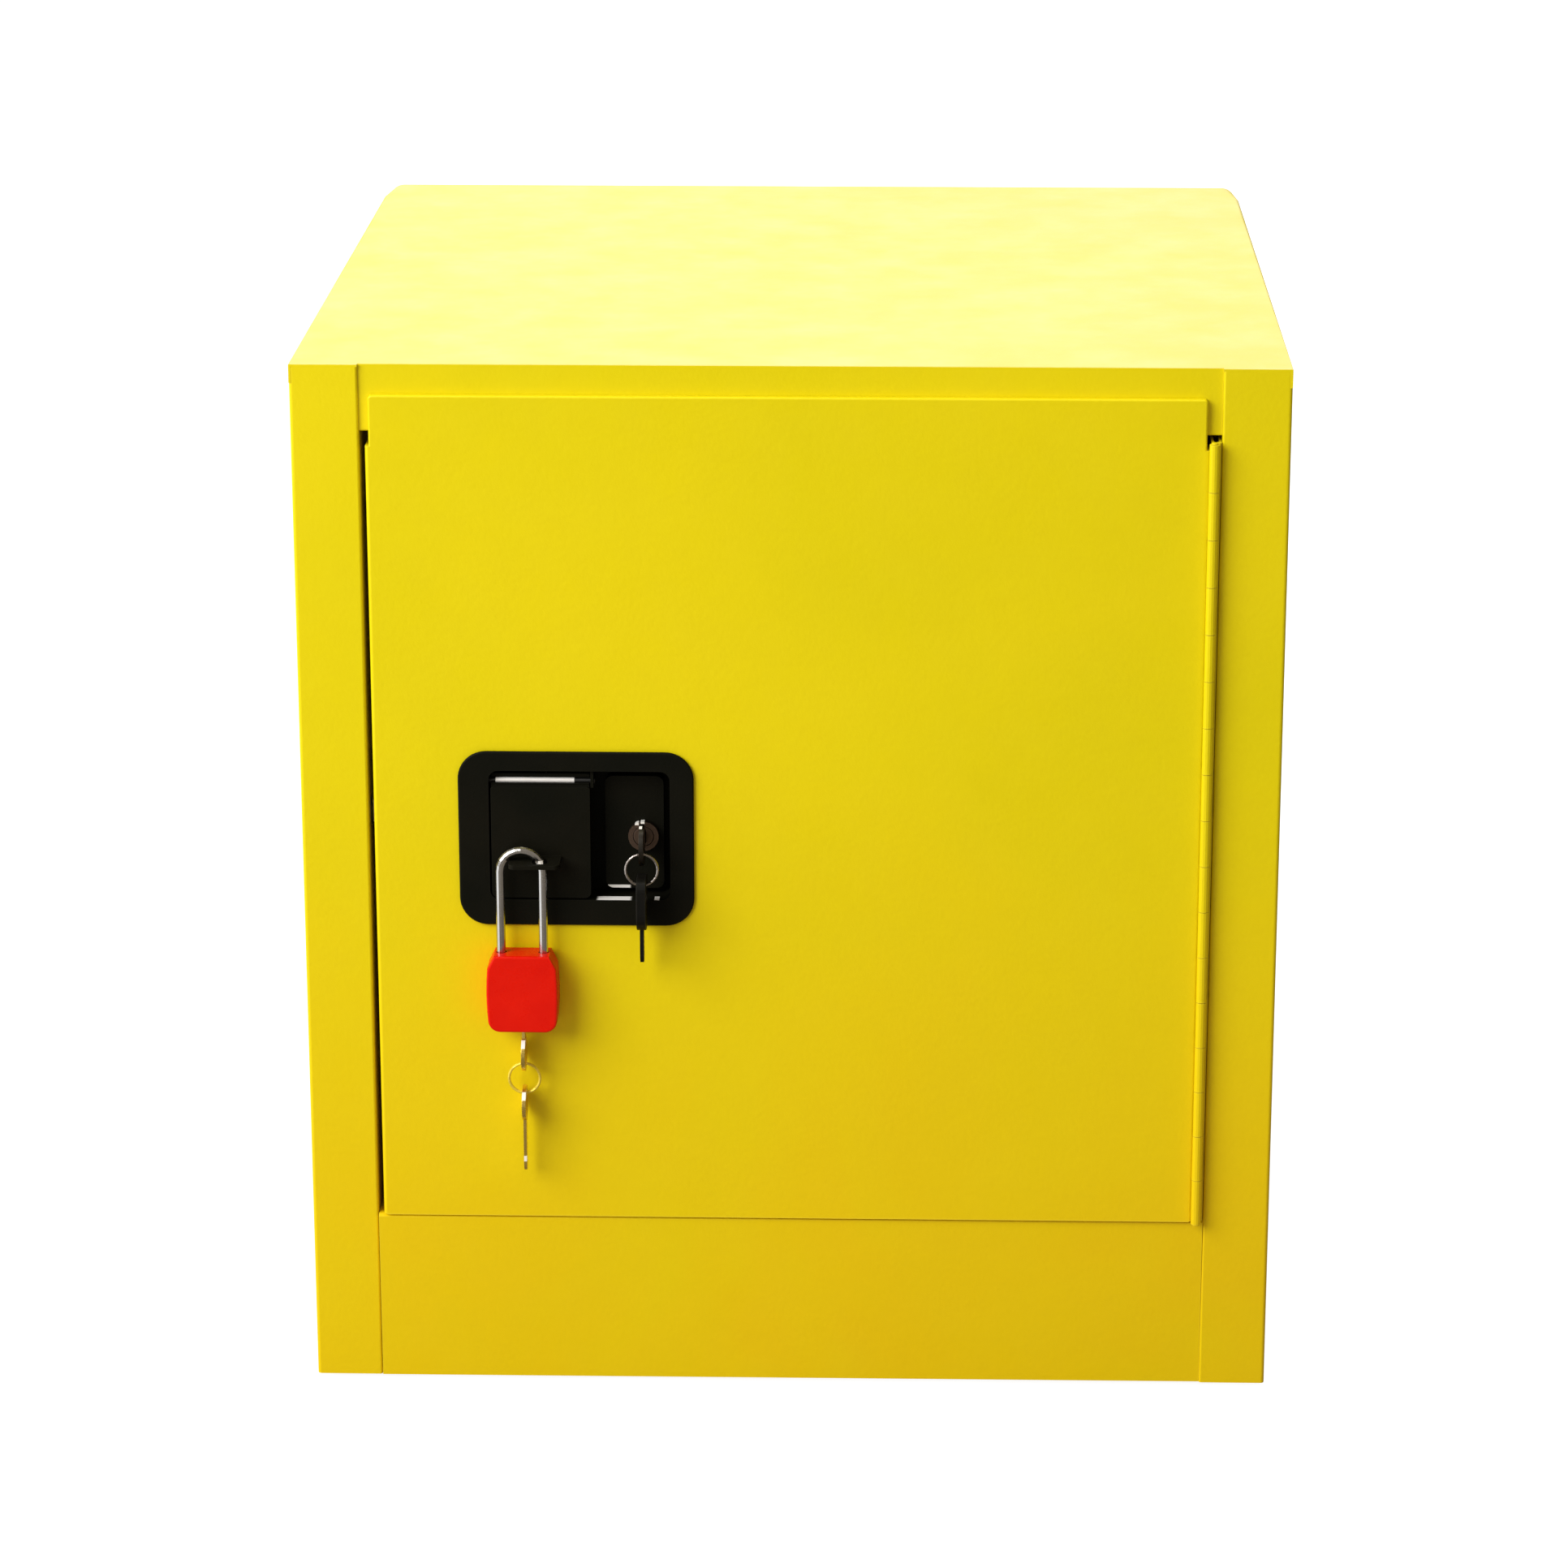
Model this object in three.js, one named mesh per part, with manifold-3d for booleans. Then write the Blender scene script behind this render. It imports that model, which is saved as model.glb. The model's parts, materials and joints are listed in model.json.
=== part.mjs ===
// Bench-top safety cabinet for flammable liquids: a double-walled steel box with one hinged door,
// a recessed lift latch with a key lock, and a padlock hung on the latch.
// Millimetres, +Z up, the door faces -Y. The origin is below the middle of the whole object, on the floor.

import * as THREE from "three";
import { mergeVertices } from "three/addons/utils/BufferGeometryUtils.js";
import Module from "manifold-3d";

const wasm = await Module();
wasm.setup();

// Driving sizes of the carcase
const width = 510;
const depth = 510;
const boxHeight = 556;
const footHeight = 4;
const sheet = 1.2;
const bend = 2;
const tightBend = 1.3;
const roofRound = 2.5;
const roofBackRound = 8.5;
const roofRoundRun = 35;
const wall = 38;
const stripWidth = 35;
const backLip = 20;
const fit = 0.3;
const overrun = 5;

// Front frame: the header, the sill and the opening between them
const headerDrop = 35;
const sillHeight = 93.2;
const headerSetback = 2;
const sillProud = 0.5;
const railFoot = 20;
const sumpDepth = 50;
const linerRim = 6;

// Door
const doorThickness = 37.2;
const doorProud = 2;
const latchGap = 3.2;
const doorTopLap = 19.5;
const doorTopGap = 7;
const doorFloorGap = 0.6;
const hemDepth = 3.7;
const innerLip = 6;
const cornerRound = 2;
const lapInset = 2;

// Continuous hinge
const knuckleRadius = 2.7;
const hingePinRadius = 1.2;
const hingeBoreGap = 0.25;
const leafThickness = 1.2;
const leafDepth = 22;
const knuckleCount = 17;
const knuckleGap = 0.3;
const hingeTopGap = 2.9;
const hingeProud = 4.5;
const hingeInset = 1;
const hingeLap = 1;
const pinHead = 0.8;

// Shelf and what carries it
const shelfLevel = 300;
const shelfLip = 12;
const shelfSideGap = 1;
const shelfFrontSetback = 20;
const shelfBackGap = 12;
const standardWidth = 20;
const standardDepth = 4.2;
const standardSetIn = 65;
const standardFoot = 12;
const standardHead = 12;
const slotWidth = 3;
const slotHeight = 10;
const slotPitch = 32;
const slotEndMargin = 20;
const clipReach = 14;
const clipWidth = 18;
const clipThickness = 2;
const clipDrop = 12;

// Vents in the back wall, and the earthing stud
const ventBore = 24;
const ventWall = 4;
const ventRim = 6;
const ventRimThickness = 2;
const ventCapThickness = 1.2;
const ventPlugDepth = 10;
const ventGrip = 12;
const ventGripDepth = 6;
const ventInset = 90;
const ventRise = 47.8;
const ventDrop = 120;
const ventBars = 3;
const ventBarWidth = 2.5;
const studRadius = 3;
const studLength = 12;
const studInside = 6;
const studWasher = 8;
const studWasherThickness = 1.5;
const studNut = 6;
const studNutThickness = 5;
const studInset = 60;
const studHeight = 60;

// Feet
const footRadius = 15;
const footTopRadius = 13;
const footStem = 4;
const footStemRise = 5;
const footInset = 50;

// Latch housing: a flanged pan let into the door
const plateWidth = 122.8;
const plateHeight = 94.7;
const plateThickness = 2;
const plateRound = 15;
const plateBevel = 0.7;
const plateLatchInset = 47.5;
const plateFloor = 257.9;
const pocketLeft = 16;
const pocketRight = 12.5;
const pocketFoot = 14;
const pocketHead = 10.4;
const pocketDepth = 20.3;
const pocketWall = 1.5;
const pocketRound = 5;
const deckHeight = 8;
const deckLeft = 60;
const deckRight = 3.8;
const deckFoot = 3;
const deckHead = 6;
const deckRound = 4;

// Lift paddle, its pin and its padlock tab
const paddleWidth = 51.7;
const paddleGap = 1;
const paddleTopGap = 8.7;
const paddleThickness = 2.5;
const paddleRib = 6;
const paddleRibThickness = 2;
const paddleRound = 3;
const paddleSetback = 0.3;
const paddlePinRadius = 1.5;
const paddlePinDrop = 6.2;
const paddlePinDepth = 2.8;
const barrelWall = 1.7;
const earThickness = 1.5;
const tailReach = 25.5;
const tailWidth = 4;
const tailThickness = 3;
const tailInset = 24.5;
const tailGap = 1.5;
const tailDrop = 20;
const tabThickness = 2.2;
const tabHalf = 6;
const tabRight = 20.5;
const tabFront = 3;
const tabRound = 3;
const tabSwing = 4.3;
const tabSlotGap = 0.5;

// Bell crank behind the housing
const crankInset = 50.5;
const crankDrop = 4;
const crankPlate = 3;
const crankArm = 28;
const crankLeg = 18;
const crankHub = 6;
const crankArmWidth = 6.1;
const crankFootRadius = 4;
const crankPinRadius = 2.5;
const crankStub = 2;
const crankPocketGap = 2;

// Latch bolt, its case and its spring
const boltReach = 2.3;
const boltNose = 23.1;
const boltHigh = 12;
const boltDeep = 11;
const boltSlope = 7;
const boltSlopeRun = 6;
const boltForward = 4.5;
const boltRodRadius = 3;
const boltRodLength = 18;
const boltBlock = 6;
const boltBar = 2.5;
const boltBarHeight = 10;
const boltBarEyeHeight = 16;
const boltBarEnd = 3;
const boltEyeLength = 12;
const boltSlotHigh = 9;
const boltSlotGap = 0.5;
const caseWall = 1.2;
const caseGap = 0.6;
const caseRoom = 14;
const springWire = 0.5;
const springRadius = 4.6;
const springTurns = 5;
const strikeWidth = 24;
const strikeHeight = 50;
const strikeThickness = 1.5;
const strikeSlotGap = 2;

// Cylinder lock
const lockFromDeckRight = 10.5;
const lockFromDeckTop = 31.7;
const lockRimRadius = 8;
const lockRim = 4;
const lockBarrelRadius = 7.2;
const plugRadius = 5.2;
const plugGap = 0.3;
const nutRadius = 12;
const nutThickness = 3.5;
const camLength = 25;
const camWidth = 10;
const camThickness = 2;
const camSpigot = 3;
const camScrew = 4.5;
const camScrewHead = 1.6;

// Keys and rings
const bladeThickness = 2;
const bladeWidth = 7;
const keywayGap = 0.3;
const lockBlade = 17;
const lockBowRadius = 11;
const lockBowThickness = 2.4;
const lockShank = 6;
const lockBowHoleRadius = 2.5;
const lockBowHoleFromEnd = 6;
const lockBowHoleDrop = 2;
const ringRadius = 8.4;
const ringWire = 0.8;
const spareHeadRadius = 10;
const spareHeadThickness = 5;
const spareHeadHeight = 28;
const spareBlade = 18;
const spareHoleRadius = 2.5;
const spareHoleFromTop = 5;

// Padlock
const shackleRod = 2.4;
const shackleSpan = 22.2;
const shackleClear = 44.4;
const shackleFromPlateLeft = 33;
const shackleTopFromPlate = 43.3;
const padlockWidth = 37.5;
const padlockHeight = 42.2;
const padlockThickness = 17;
const padlockDoorGap = 1.5;
const padlockBevel = 1.5;
const padlockShoulder = 6;
const padlockFootRound = 5;
const padlockBulge = 0.6;
const heelDepth = 28;
const toeDepth = 8;
const legHoleGap = 0.35;
const padPlugRadius = 5.5;
const padPlugDepth = 14;
const padBowRadius = 9.5;
const padBowThickness = 2;
const padBowHoleRadius = 2.2;
const padBladeWidth = 6;
const padBladeThickness = 1.6;
const padBlade = 11;
const padShank = 6;
const padSpareBlade = 23.5;
const padRingRadius = 8.2;

// Facets
const roundSides = 20;
const smallSides = 12;
const knuckleSides = 14;
const boreSides = 8;
const hexSides = 6;
const ringSides = 8;
const ringSteps = 24;
const springSides = 5;
const springSteps = 8;
const bendSteps = 3;
const cornerSteps = 6;
const crownSteps = 12;
const bevelSteps = 2;
const bladeCuts = 4;
const weldDistance = 1e-4;

// Places worked out from the driving sizes
const frontY = -depth / 2;
const backY = depth / 2;
const sideX = width / 2;
const floorZ = footHeight;
const topZ = footHeight + boxHeight;
const openX = sideX - stripWidth;
const linerX = sideX - wall;
const linerBackY = backY - wall;
const linerTopZ = topZ - wall;
const headerZ = topZ - headerDrop;
const sillZ = floorZ + sillHeight;
const jambY = frontY + wall + sheet;
const trayFloorZ = sillZ - sumpDepth;
const doorFrontY = frontY - doorProud;
const doorBackY = doorFrontY + doorThickness;
const doorLeftX = -openX + latchGap;
const hingeX = openX - fit - hingeInset - knuckleRadius;
const hingeY = frontY - hingeProud;
const doorRightX = hingeX - knuckleRadius + hingeLap;
const doorTopZ = headerZ + doorTopLap;
const doorBoxTopZ = headerZ - doorTopGap;
const doorBottomZ = sillZ + doorFloorGap;
const plateLeftX = -sideX + stripWidth + plateLatchInset;
const plateRightX = plateLeftX + plateWidth;
const plateBottomZ = floorZ + plateFloor;
const plateTopZ = plateBottomZ + plateHeight;
const plateBackY = doorFrontY - fit;
const plateFrontY = plateBackY - plateThickness;
const pocketLeftX = plateLeftX + pocketLeft;
const pocketRightX = plateRightX - pocketRight;
const pocketBottomZ = plateBottomZ + pocketFoot;
const pocketTopZ = plateTopZ - pocketHead;
const pocketFloorY = plateFrontY + pocketDepth;
const pocketBackY = pocketFloorY + pocketWall;
const paddleLeftX = pocketLeftX + paddleGap;
const paddleRightX = paddleLeftX + paddleWidth;
const paddleBottomZ = pocketBottomZ + paddleGap;
const paddleTopZ = pocketTopZ - paddleTopGap;
const paddleFrontY = plateFrontY + paddleSetback;
const paddlePinZ = pocketTopZ - paddlePinDrop;
const paddlePinY = plateBackY + paddlePinDepth;
const tailX = paddleLeftX + tailInset;
const crankX = paddleLeftX + crankInset - paddleGap;
const crankZ = paddlePinZ - crankDrop;
const crankY = pocketBackY + crankPocketGap;
const boltZ = crankZ - crankLeg;
const boltY = crankY - boltForward;
const barY = crankY + crankPlate + fit;
const barEndX = crankX + boltBarEnd;
const deckLeftX = pocketLeftX + deckLeft;
const deckRightX = pocketRightX - deckRight;
const deckFrontY = pocketFloorY - deckHeight;
const lockX = deckRightX - lockFromDeckRight;
const lockZ = pocketTopZ - deckHead - lockFromDeckTop;
const camY = barY;
const padlockX = plateLeftX + shackleFromPlateLeft;
const padlockY = doorFrontY - padlockDoorGap - padlockThickness / 2;
const crownZ = plateBottomZ + shackleTopFromPlate;
const shackleArc = shackleSpan / 2;
const padlockTopZ = crownZ - shackleArc - shackleClear;
const padlockBottomZ = padlockTopZ - padlockHeight;

// Finishes
function finish(color, roughness, metalness) {
  return new THREE.MeshStandardMaterial({ color, roughness, metalness });
}

const yellowPaint = finish("#e6cd14", 0.45, 0);
const blackPaint = finish("#17170f", 0.5, 0);
const zincSteel = finish("#b9bcbe", 0.4, 1);
const chromed = finish("#dcdcdc", 0.15, 1);
const keySteel = finish("#c9c6bd", 0.3, 1);
const blackPlastic = finish("#141412", 0.45, 0);
const redEnamel = finish("#e01e10", 0.35, 0);
const brassMetal = finish("#b08d3c", 0.35, 1);
const blackRubber = finish("#1c1c1c", 0.9, 0);

// Turning three.js geometry into closed solids and back
function solid(geometry) {
  const flat = geometry.index ? geometry.toNonIndexed() : geometry;
  const bare = new THREE.BufferGeometry();
  bare.setAttribute("position", flat.getAttribute("position"));
  const merged = mergeVertices(bare, weldDistance);
  const vertProperties = merged.getAttribute("position").array;
  const triVerts = new Uint32Array(merged.index.array);
  return new wasm.Manifold(new wasm.Mesh({ numProp: 3, vertProperties, triVerts }));
}

function join(...parts) {
  return parts.reduce((whole, part) => whole.add(part));
}

function cut(whole, ...tools) {
  return tools.reduce((rest, tool) => rest.subtract(tool), whole);
}

function meshOf(name, shape, material) {
  const { numProp, vertProperties, triVerts } = shape.getMesh();
  const geometry = new THREE.BufferGeometry();
  const positions = new THREE.BufferAttribute(new Float32Array(vertProperties), numProp);
  geometry.setAttribute("position", positions);
  geometry.setIndex(new THREE.BufferAttribute(new Uint32Array(triVerts), 1));
  geometry.computeVertexNormals();
  const mesh = new THREE.Mesh(geometry, material);
  mesh.name = name;
  return mesh;
}

// Basic forms, each given by the planes that bound it
function block([x0, x1], [y0, y1], [z0, z1]) {
  const geometry = new THREE.BoxGeometry(x1 - x0, y1 - y0, z1 - z0);
  geometry.translate((x0 + x1) / 2, (y0 + y1) / 2, (z0 + z1) / 2);
  return solid(geometry);
}

// A profile drawn across an axis and pushed from one place on that axis to another.
// Across x it is drawn in (y, z), across y in (x, z) and across z in (x, y).
function prism(axis, outline, [start, end], options = {}) {
  const shape = outline instanceof THREE.Shape ? outline : new THREE.Shape(outline);
  const settings = { depth: end - start, bevelEnabled: false, curveSegments: bendSteps, ...options };
  const geometry = new THREE.ExtrudeGeometry(shape, settings);
  const [ux, uy, uz] = [0, 1, 2].map((i) => new THREE.Vector3().setComponent(i, 1));
  const turn = new THREE.Matrix4();
  if (axis === "x") turn.makeBasis(uy, uz, ux).setPosition(start, 0, 0);
  if (axis === "y") turn.makeBasis(ux, uz, uy.clone().negate()).setPosition(0, end, 0);
  if (axis === "z") turn.makeBasis(ux, uy, uz).setPosition(0, 0, start);
  return solid(geometry.applyMatrix4(turn));
}

function circle([u, v], radius, sides) {
  const points = [];
  for (let i = 0; i < sides; i += 1) {
    const angle = ((i + 0.5) * 2 * Math.PI) / sides;
    points.push(new THREE.Vector2(u + radius * Math.cos(angle), v + radius * Math.sin(angle)));
  }
  return points;
}

function rod(axis, centre, radius, span, sides = smallSides) {
  return prism(axis, circle(centre, radius, sides), span);
}

// A rectangle with rounded corners; radii are given from the lower left corner, anticlockwise.
function roundedRect([u0, u1], [v0, v1], radii) {
  const [a, b, c, d] = Array.isArray(radii) ? radii : [radii, radii, radii, radii];
  const shape = new THREE.Shape();
  shape.moveTo(u0 + a, v0);
  shape.lineTo(u1 - b, v0);
  if (b) shape.absarc(u1 - b, v0 + b, b, -Math.PI / 2, 0, false);
  shape.lineTo(u1, v1 - c);
  if (c) shape.absarc(u1 - c, v1 - c, c, 0, Math.PI / 2, false);
  shape.lineTo(u0 + d, v1);
  if (d) shape.absarc(u0 + d, v1 - d, d, Math.PI / 2, Math.PI, false);
  shape.lineTo(u0, v0 + a);
  if (a) shape.absarc(u0 + a, v0 + a, a, Math.PI, (3 * Math.PI) / 2, false);
  return shape;
}

// The section of a sheet folded along a line of points. The points run along one face and the
// sheet lies to their left. The bends are one outer radius, or one for each fold in turn.
function foldedSheet(points, thickness, bends) {
  const face = points.map(([u, v]) => new THREE.Vector2(u, v));
  const runs = face.slice(1).map((p, i) => p.clone().sub(face[i]).normalize());
  const left = (d) => new THREE.Vector2(-d.y, d.x);
  const offset = face.map((p, i) => {
    const half = left(runs[Math.max(i - 1, 0)]).add(left(runs[Math.min(i, runs.length - 1)]));
    return p.clone().addScaledVector(half, (thickness * 2) / half.lengthSq());
  });
  const outer = (i) => (Array.isArray(bends) ? bends[i - 1] : bends);
  const turnsLeft = (i) => runs[i - 1].cross(runs[i]) > 0;
  const near = roundedLine(face, runs, (i) => (turnsLeft(i) ? outer(i) : outer(i) - thickness));
  const far = roundedLine(offset, runs, (i) => (turnsLeft(i) ? outer(i) - thickness : outer(i)));
  return [...near, ...far.reverse()];
}

function roundedLine(points, runs, radiusAt) {
  const line = [points[0]];
  for (let i = 1; i < points.length - 1; i += 1) {
    const angle = Math.atan2(runs[i - 1].cross(runs[i]), runs[i - 1].dot(runs[i]));
    const radius = radiusAt(i);
    const setback = radius * Math.abs(Math.tan(angle / 2));
    const start = points[i].clone().addScaledVector(runs[i - 1], -setback);
    const side = new THREE.Vector2(-runs[i - 1].y, runs[i - 1].x);
    const centre = start.clone().addScaledVector(side, Math.sign(angle) * radius);
    for (let step = 0; step <= bendSteps; step += 1) {
      line.push(start.clone().rotateAround(centre, (angle * step) / bendSteps));
    }
  }
  line.push(points[points.length - 1]);
  return line;
}

class ArcPath extends THREE.Curve {
  constructor(radius) {
    super();
    this.radius = radius;
  }

  getPoint(t, target = new THREE.Vector3()) {
    const angle = Math.PI * t;
    return target.set(-this.radius * Math.cos(angle), 0, this.radius * Math.sin(angle));
  }
}

class CoilPath extends THREE.Curve {
  constructor(radius, length, turns) {
    super();
    this.radius = radius;
    this.length = length;
    this.turns = turns;
  }

  getPoint(t, target = new THREE.Vector3()) {
    const angle = 2 * Math.PI * this.turns * t;
    return target.set(this.length * t, this.radius * Math.cos(angle), this.radius * Math.sin(angle));
  }
}

function sweep(path, radius, sides, steps) {
  const shape = new THREE.Shape(circle([0, 0], radius, sides));
  return solid(new THREE.ExtrudeGeometry(shape, { extrudePath: path, steps, bevelEnabled: false }));
}

// Carcase: one sheet folded around the front strips, the sides and the back lips, and the roof.
// The roof's long edges are rounded, more so at the back corners.
function roofEnvelope(inset) {
  const sections = [
    [frontY, fit],
    [frontY + roofRound, roofRound - inset],
    [backY - roofRoundRun, roofRound - inset],
    [backY, roofBackRound - inset],
  ];
  const half = sideX - inset;
  const points = sections.flatMap(([y, radius]) => {
    const outline = roundedRect([-half, half], [floorZ, topZ - inset], [0, 0, radius, radius]);
    return outline.getPoints(cornerSteps).map(([u, v]) => [u, y, v]);
  });
  return wasm.Manifold.hull(points);
}

function outerWrap() {
  const rightLine = [
    [openX, jambY - fit - sheet],
    [openX, frontY],
    [sideX, frontY],
    [sideX, backY],
    [sideX - backLip, backY],
  ];
  const leftLine = rightLine.map(([x, y]) => [-x, y]).reverse();
  const upright = [floorZ, topZ];
  const right = prism("z", foldedSheet(rightLine, sheet, [tightBend, bend, bend]), upright);
  const left = prism("z", foldedSheet(leftLine, sheet, [bend, bend, tightBend]), upright);
  const roof = prism("z", roundedRect([-sideX, sideX], [frontY, backY], bend), [topZ - sheet, topZ]);
  const roofEdgeY = frontY + headerSetback + sheet + fit;
  const recess = block([-openX, openX], [frontY - overrun, roofEdgeY], [topZ - overrun, topZ + overrun]);
  const envelope = roofEnvelope(0);
  const seam = bothSides.map((side) => {
    const inner = side * (sideX - roofBackRound - sheet);
    const outer = side * (sideX + overrun);
    const across = [Math.min(inner, outer), Math.max(inner, outer)];
    return block(across, [frontY, backY], [topZ - roofBackRound - sheet, topZ + overrun]);
  });
  const corners = cut(envelope, roofEnvelope(sheet)).intersect(join(...seam));
  const body = cut(join(roof, left, right), recess).intersect(envelope);
  return cut(join(body, corners), strikeSlot());
}

function strikeSlot() {
  const reach = boltHigh / 2 + strikeSlotGap;
  return block(
    [-openX - sheet - overrun, -openX + overrun],
    [boltY - strikeSlotGap, boltY + boltDeep + strikeSlotGap],
    [boltZ - reach, boltZ + reach],
  );
}

function ventHoles() {
  const radius = ventBore + ventWall + fit;
  const span = [linerBackY - overrun, backY + overrun];
  return ventPlaces.map((place) => rod("y", place, radius, span, roundSides));
}

function backPanel() {
  const y = backY - sheet - fit;
  const halfWidth = sideX - sheet - fit;
  const outline = roundedRect(
    [-halfWidth, halfWidth],
    [floorZ + sheet + fit, topZ - sheet - fit],
    [0, 0, roofBackRound, roofBackRound],
  );
  const plate = prism("y", outline, [y - sheet, y]);
  const studHole = rod("y", [studX, studZ], studRadius + fit, [y - overrun, y + overrun]);
  return cut(plate, ...ventHoles(), studHole);
}

function basePan() {
  const x = sideX - sheet - fit;
  const line = [
    [-x, floorZ + railFoot],
    [-x, floorZ],
    [x, floorZ],
    [x, floorZ + railFoot],
  ];
  const section = foldedSheet(line, sheet, bend);
  const run = [frontY + sheet + fit, backY - 2 * (sheet + fit)];
  const pan = prism("y", section, run);
  const deep = [floorZ - overrun, floorZ + overrun];
  const holes = footPlaces.map((place) => rod("z", place, footStem + fit, deep));
  const notches = bothSides.map((side) => {
    const middle = side * (openX + sheet / 2);
    const half = sheet / 2 + fit;
    return block([middle - half, middle + half], [frontY, jambY], deep);
  });
  return cut(pan, ...holes, ...notches);
}

function headerRail() {
  const y = frontY + headerSetback;
  const line = [
    [y + railFoot, topZ - sheet - fit],
    [y, topZ - sheet - fit],
    [y, headerZ],
    [jambY - fit - sheet, headerZ],
  ];
  const across = [-openX + fit, openX - fit];
  const upperEdge = block(across, [y, y + sheet], [topZ - overrun, topZ]);
  return join(prism("x", foldedSheet(line, sheet, tightBend), across), upperEdge);
}

function sillRail() {
  const y = frontY - sillProud;
  const foot = floorZ + sheet + fit;
  const line = [
    [jambY - fit - sheet, sillZ],
    [y, sillZ],
    [y, floorZ],
  ];
  const front = prism("x", foldedSheet(line, sheet, tightBend), [-openX + fit, openX - fit]);
  const tread = block([-openX + fit, openX - fit], [y, y + railFoot], [foot, foot + sheet]);
  return join(front, tread);
}

// The inner box, open in front and below, with a rim that closes the front of the double wall
function innerLiner() {
  const outside = linerX + sheet;
  const shell = block([-outside, outside], [jambY, linerBackY + sheet], [trayFloorZ, linerTopZ + sheet]);
  const room = block([-linerX, linerX], [jambY - overrun, linerBackY], [trayFloorZ - overrun, linerTopZ]);
  const rimX = outside + linerRim;
  const rim = block([-rimX, rimX], [jambY, jambY + sheet], [trayFloorZ, linerTopZ + sheet + linerRim]);
  return cut(join(shell, rim), room, ...ventHoles());
}

// The leak-proof tray in the floor of the inner box
function sumpTray() {
  const x = linerX - fit;
  const y = [jambY + fit, linerBackY - fit];
  const tub = block([-x, x], y, [trayFloorZ, sillZ]);
  const room = block(
    [-x + sheet, x - sheet],
    [y[0] + sheet, y[1] - sheet],
    [trayFloorZ + sheet, sillZ + overrun],
  );
  return cut(tub, room);
}

// Slotted channel strips that carry the shelf clips
function standardSlots() {
  const slots = [];
  const low = standardBottomZ + slotEndMargin;
  const high = standardTopZ - slotEndMargin;
  for (let z = low; z <= high; z += slotPitch) slots.push(z);
  return slots;
}

function shelfStandard(side, y) {
  const wallX = side * (linerX - fit);
  const faceX = side * (linerX - fit - standardDepth);
  const half = standardWidth / 2;
  const line = [
    [wallX, y + side * half],
    [faceX, y + side * half],
    [faceX, y - side * half],
    [wallX, y - side * half],
  ];
  const strip = prism("z", foldedSheet(line, sheet, bend), [standardBottomZ, standardTopZ]);
  const span = [Math.min(faceX, wallX) - overrun / 2, Math.max(faceX, wallX) + overrun / 2];
  const slots = standardSlots().map((z) => {
    return block(span, [y - slotWidth / 2, y + slotWidth / 2], [z, z + slotHeight]);
  });
  return cut(strip, ...slots);
}

// A clip: a ledge with a tongue hooked through one slot of its strip
function shelfClip(side, y) {
  const faceX = linerX - fit - standardDepth - fit;
  const innerX = faceX - clipReach;
  const ledgeTop = shelfLevel - fit;
  const across = (x0, x1) => (side > 0 ? [x0, x1] : [-x1, -x0]);
  const half = clipWidth / 2;
  const ledge = block(across(innerX, faceX), [y - half, y + half], [ledgeTop - clipThickness, ledgeTop]);
  const backPlate = block(
    across(faceX - clipThickness, faceX),
    [y - half, y + half],
    [ledgeTop - clipDrop, ledgeTop],
  );
  const rib = prism("y", [
    new THREE.Vector2(side * faceX, ledgeTop - clipDrop),
    new THREE.Vector2(side * faceX, ledgeTop - clipThickness / 2),
    new THREE.Vector2(side * (innerX + clipThickness), ledgeTop - clipThickness / 2),
  ], [y - clipThickness / 2, y + clipThickness / 2]);
  const slotZ = standardSlots().filter((z) => z + slotHeight <= ledgeTop).pop();
  const tongueHalf = slotWidth / 2 - fit;
  const tongue = block(
    across(faceX - clipThickness / 2, faceX + sheet + 3 * fit),
    [y - tongueHalf, y + tongueHalf],
    [Math.max(slotZ + fit, ledgeTop - clipDrop), slotZ + slotHeight - fit],
  );
  return join(ledge, backPlate, rib, tongue);
}

function shelfPan() {
  const x = linerX - fit - standardDepth - fit - shelfSideGap;
  const y = [jambY + shelfFrontSetback, linerBackY - shelfBackGap];
  const tub = block([-x, x], y, [shelfLevel, shelfLevel + shelfLip]);
  const room = block(
    [-x + sheet, x - sheet],
    [y[0] + sheet, y[1] - sheet],
    [shelfLevel + sheet, shelfLevel + shelfLip + overrun],
  );
  return cut(tub, room);
}

// A vent through both walls: a barrel with an inner rim and a barred flame arrester
function ventBody([x, z]) {
  const end = backY - sheet - fit;
  const rimY = linerBackY - fit;
  const deep = [rimY - ventRimThickness, rimY];
  const outer = rod("y", [x, z], ventBore + ventWall, [deep[0], end], roundSides);
  const rim = rod("y", [x, z], ventBore + ventWall + ventRim, deep, roundSides);
  const bore = rod("y", [x, z], ventBore, [deep[0] - overrun, end + overrun], roundSides);
  const reach = ventBore + ventWall / 2;
  const pitch = (2 * ventBore) / (ventBars + 1);
  const bars = [];
  for (let i = 1; i <= ventBars; i += 1) {
    const at = -ventBore + i * pitch;
    const bar = [at - ventBarWidth / 2, at + ventBarWidth / 2];
    bars.push(block([x - reach, x + reach], deep, [z + bar[0], z + bar[1]]));
    bars.push(block([x + bar[0], x + bar[1]], deep, [z - reach, z + reach]));
  }
  const grid = join(...bars).intersect(rod("y", [x, z], reach, deep, roundSides));
  return join(cut(join(outer, rim), bore), grid);
}

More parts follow.
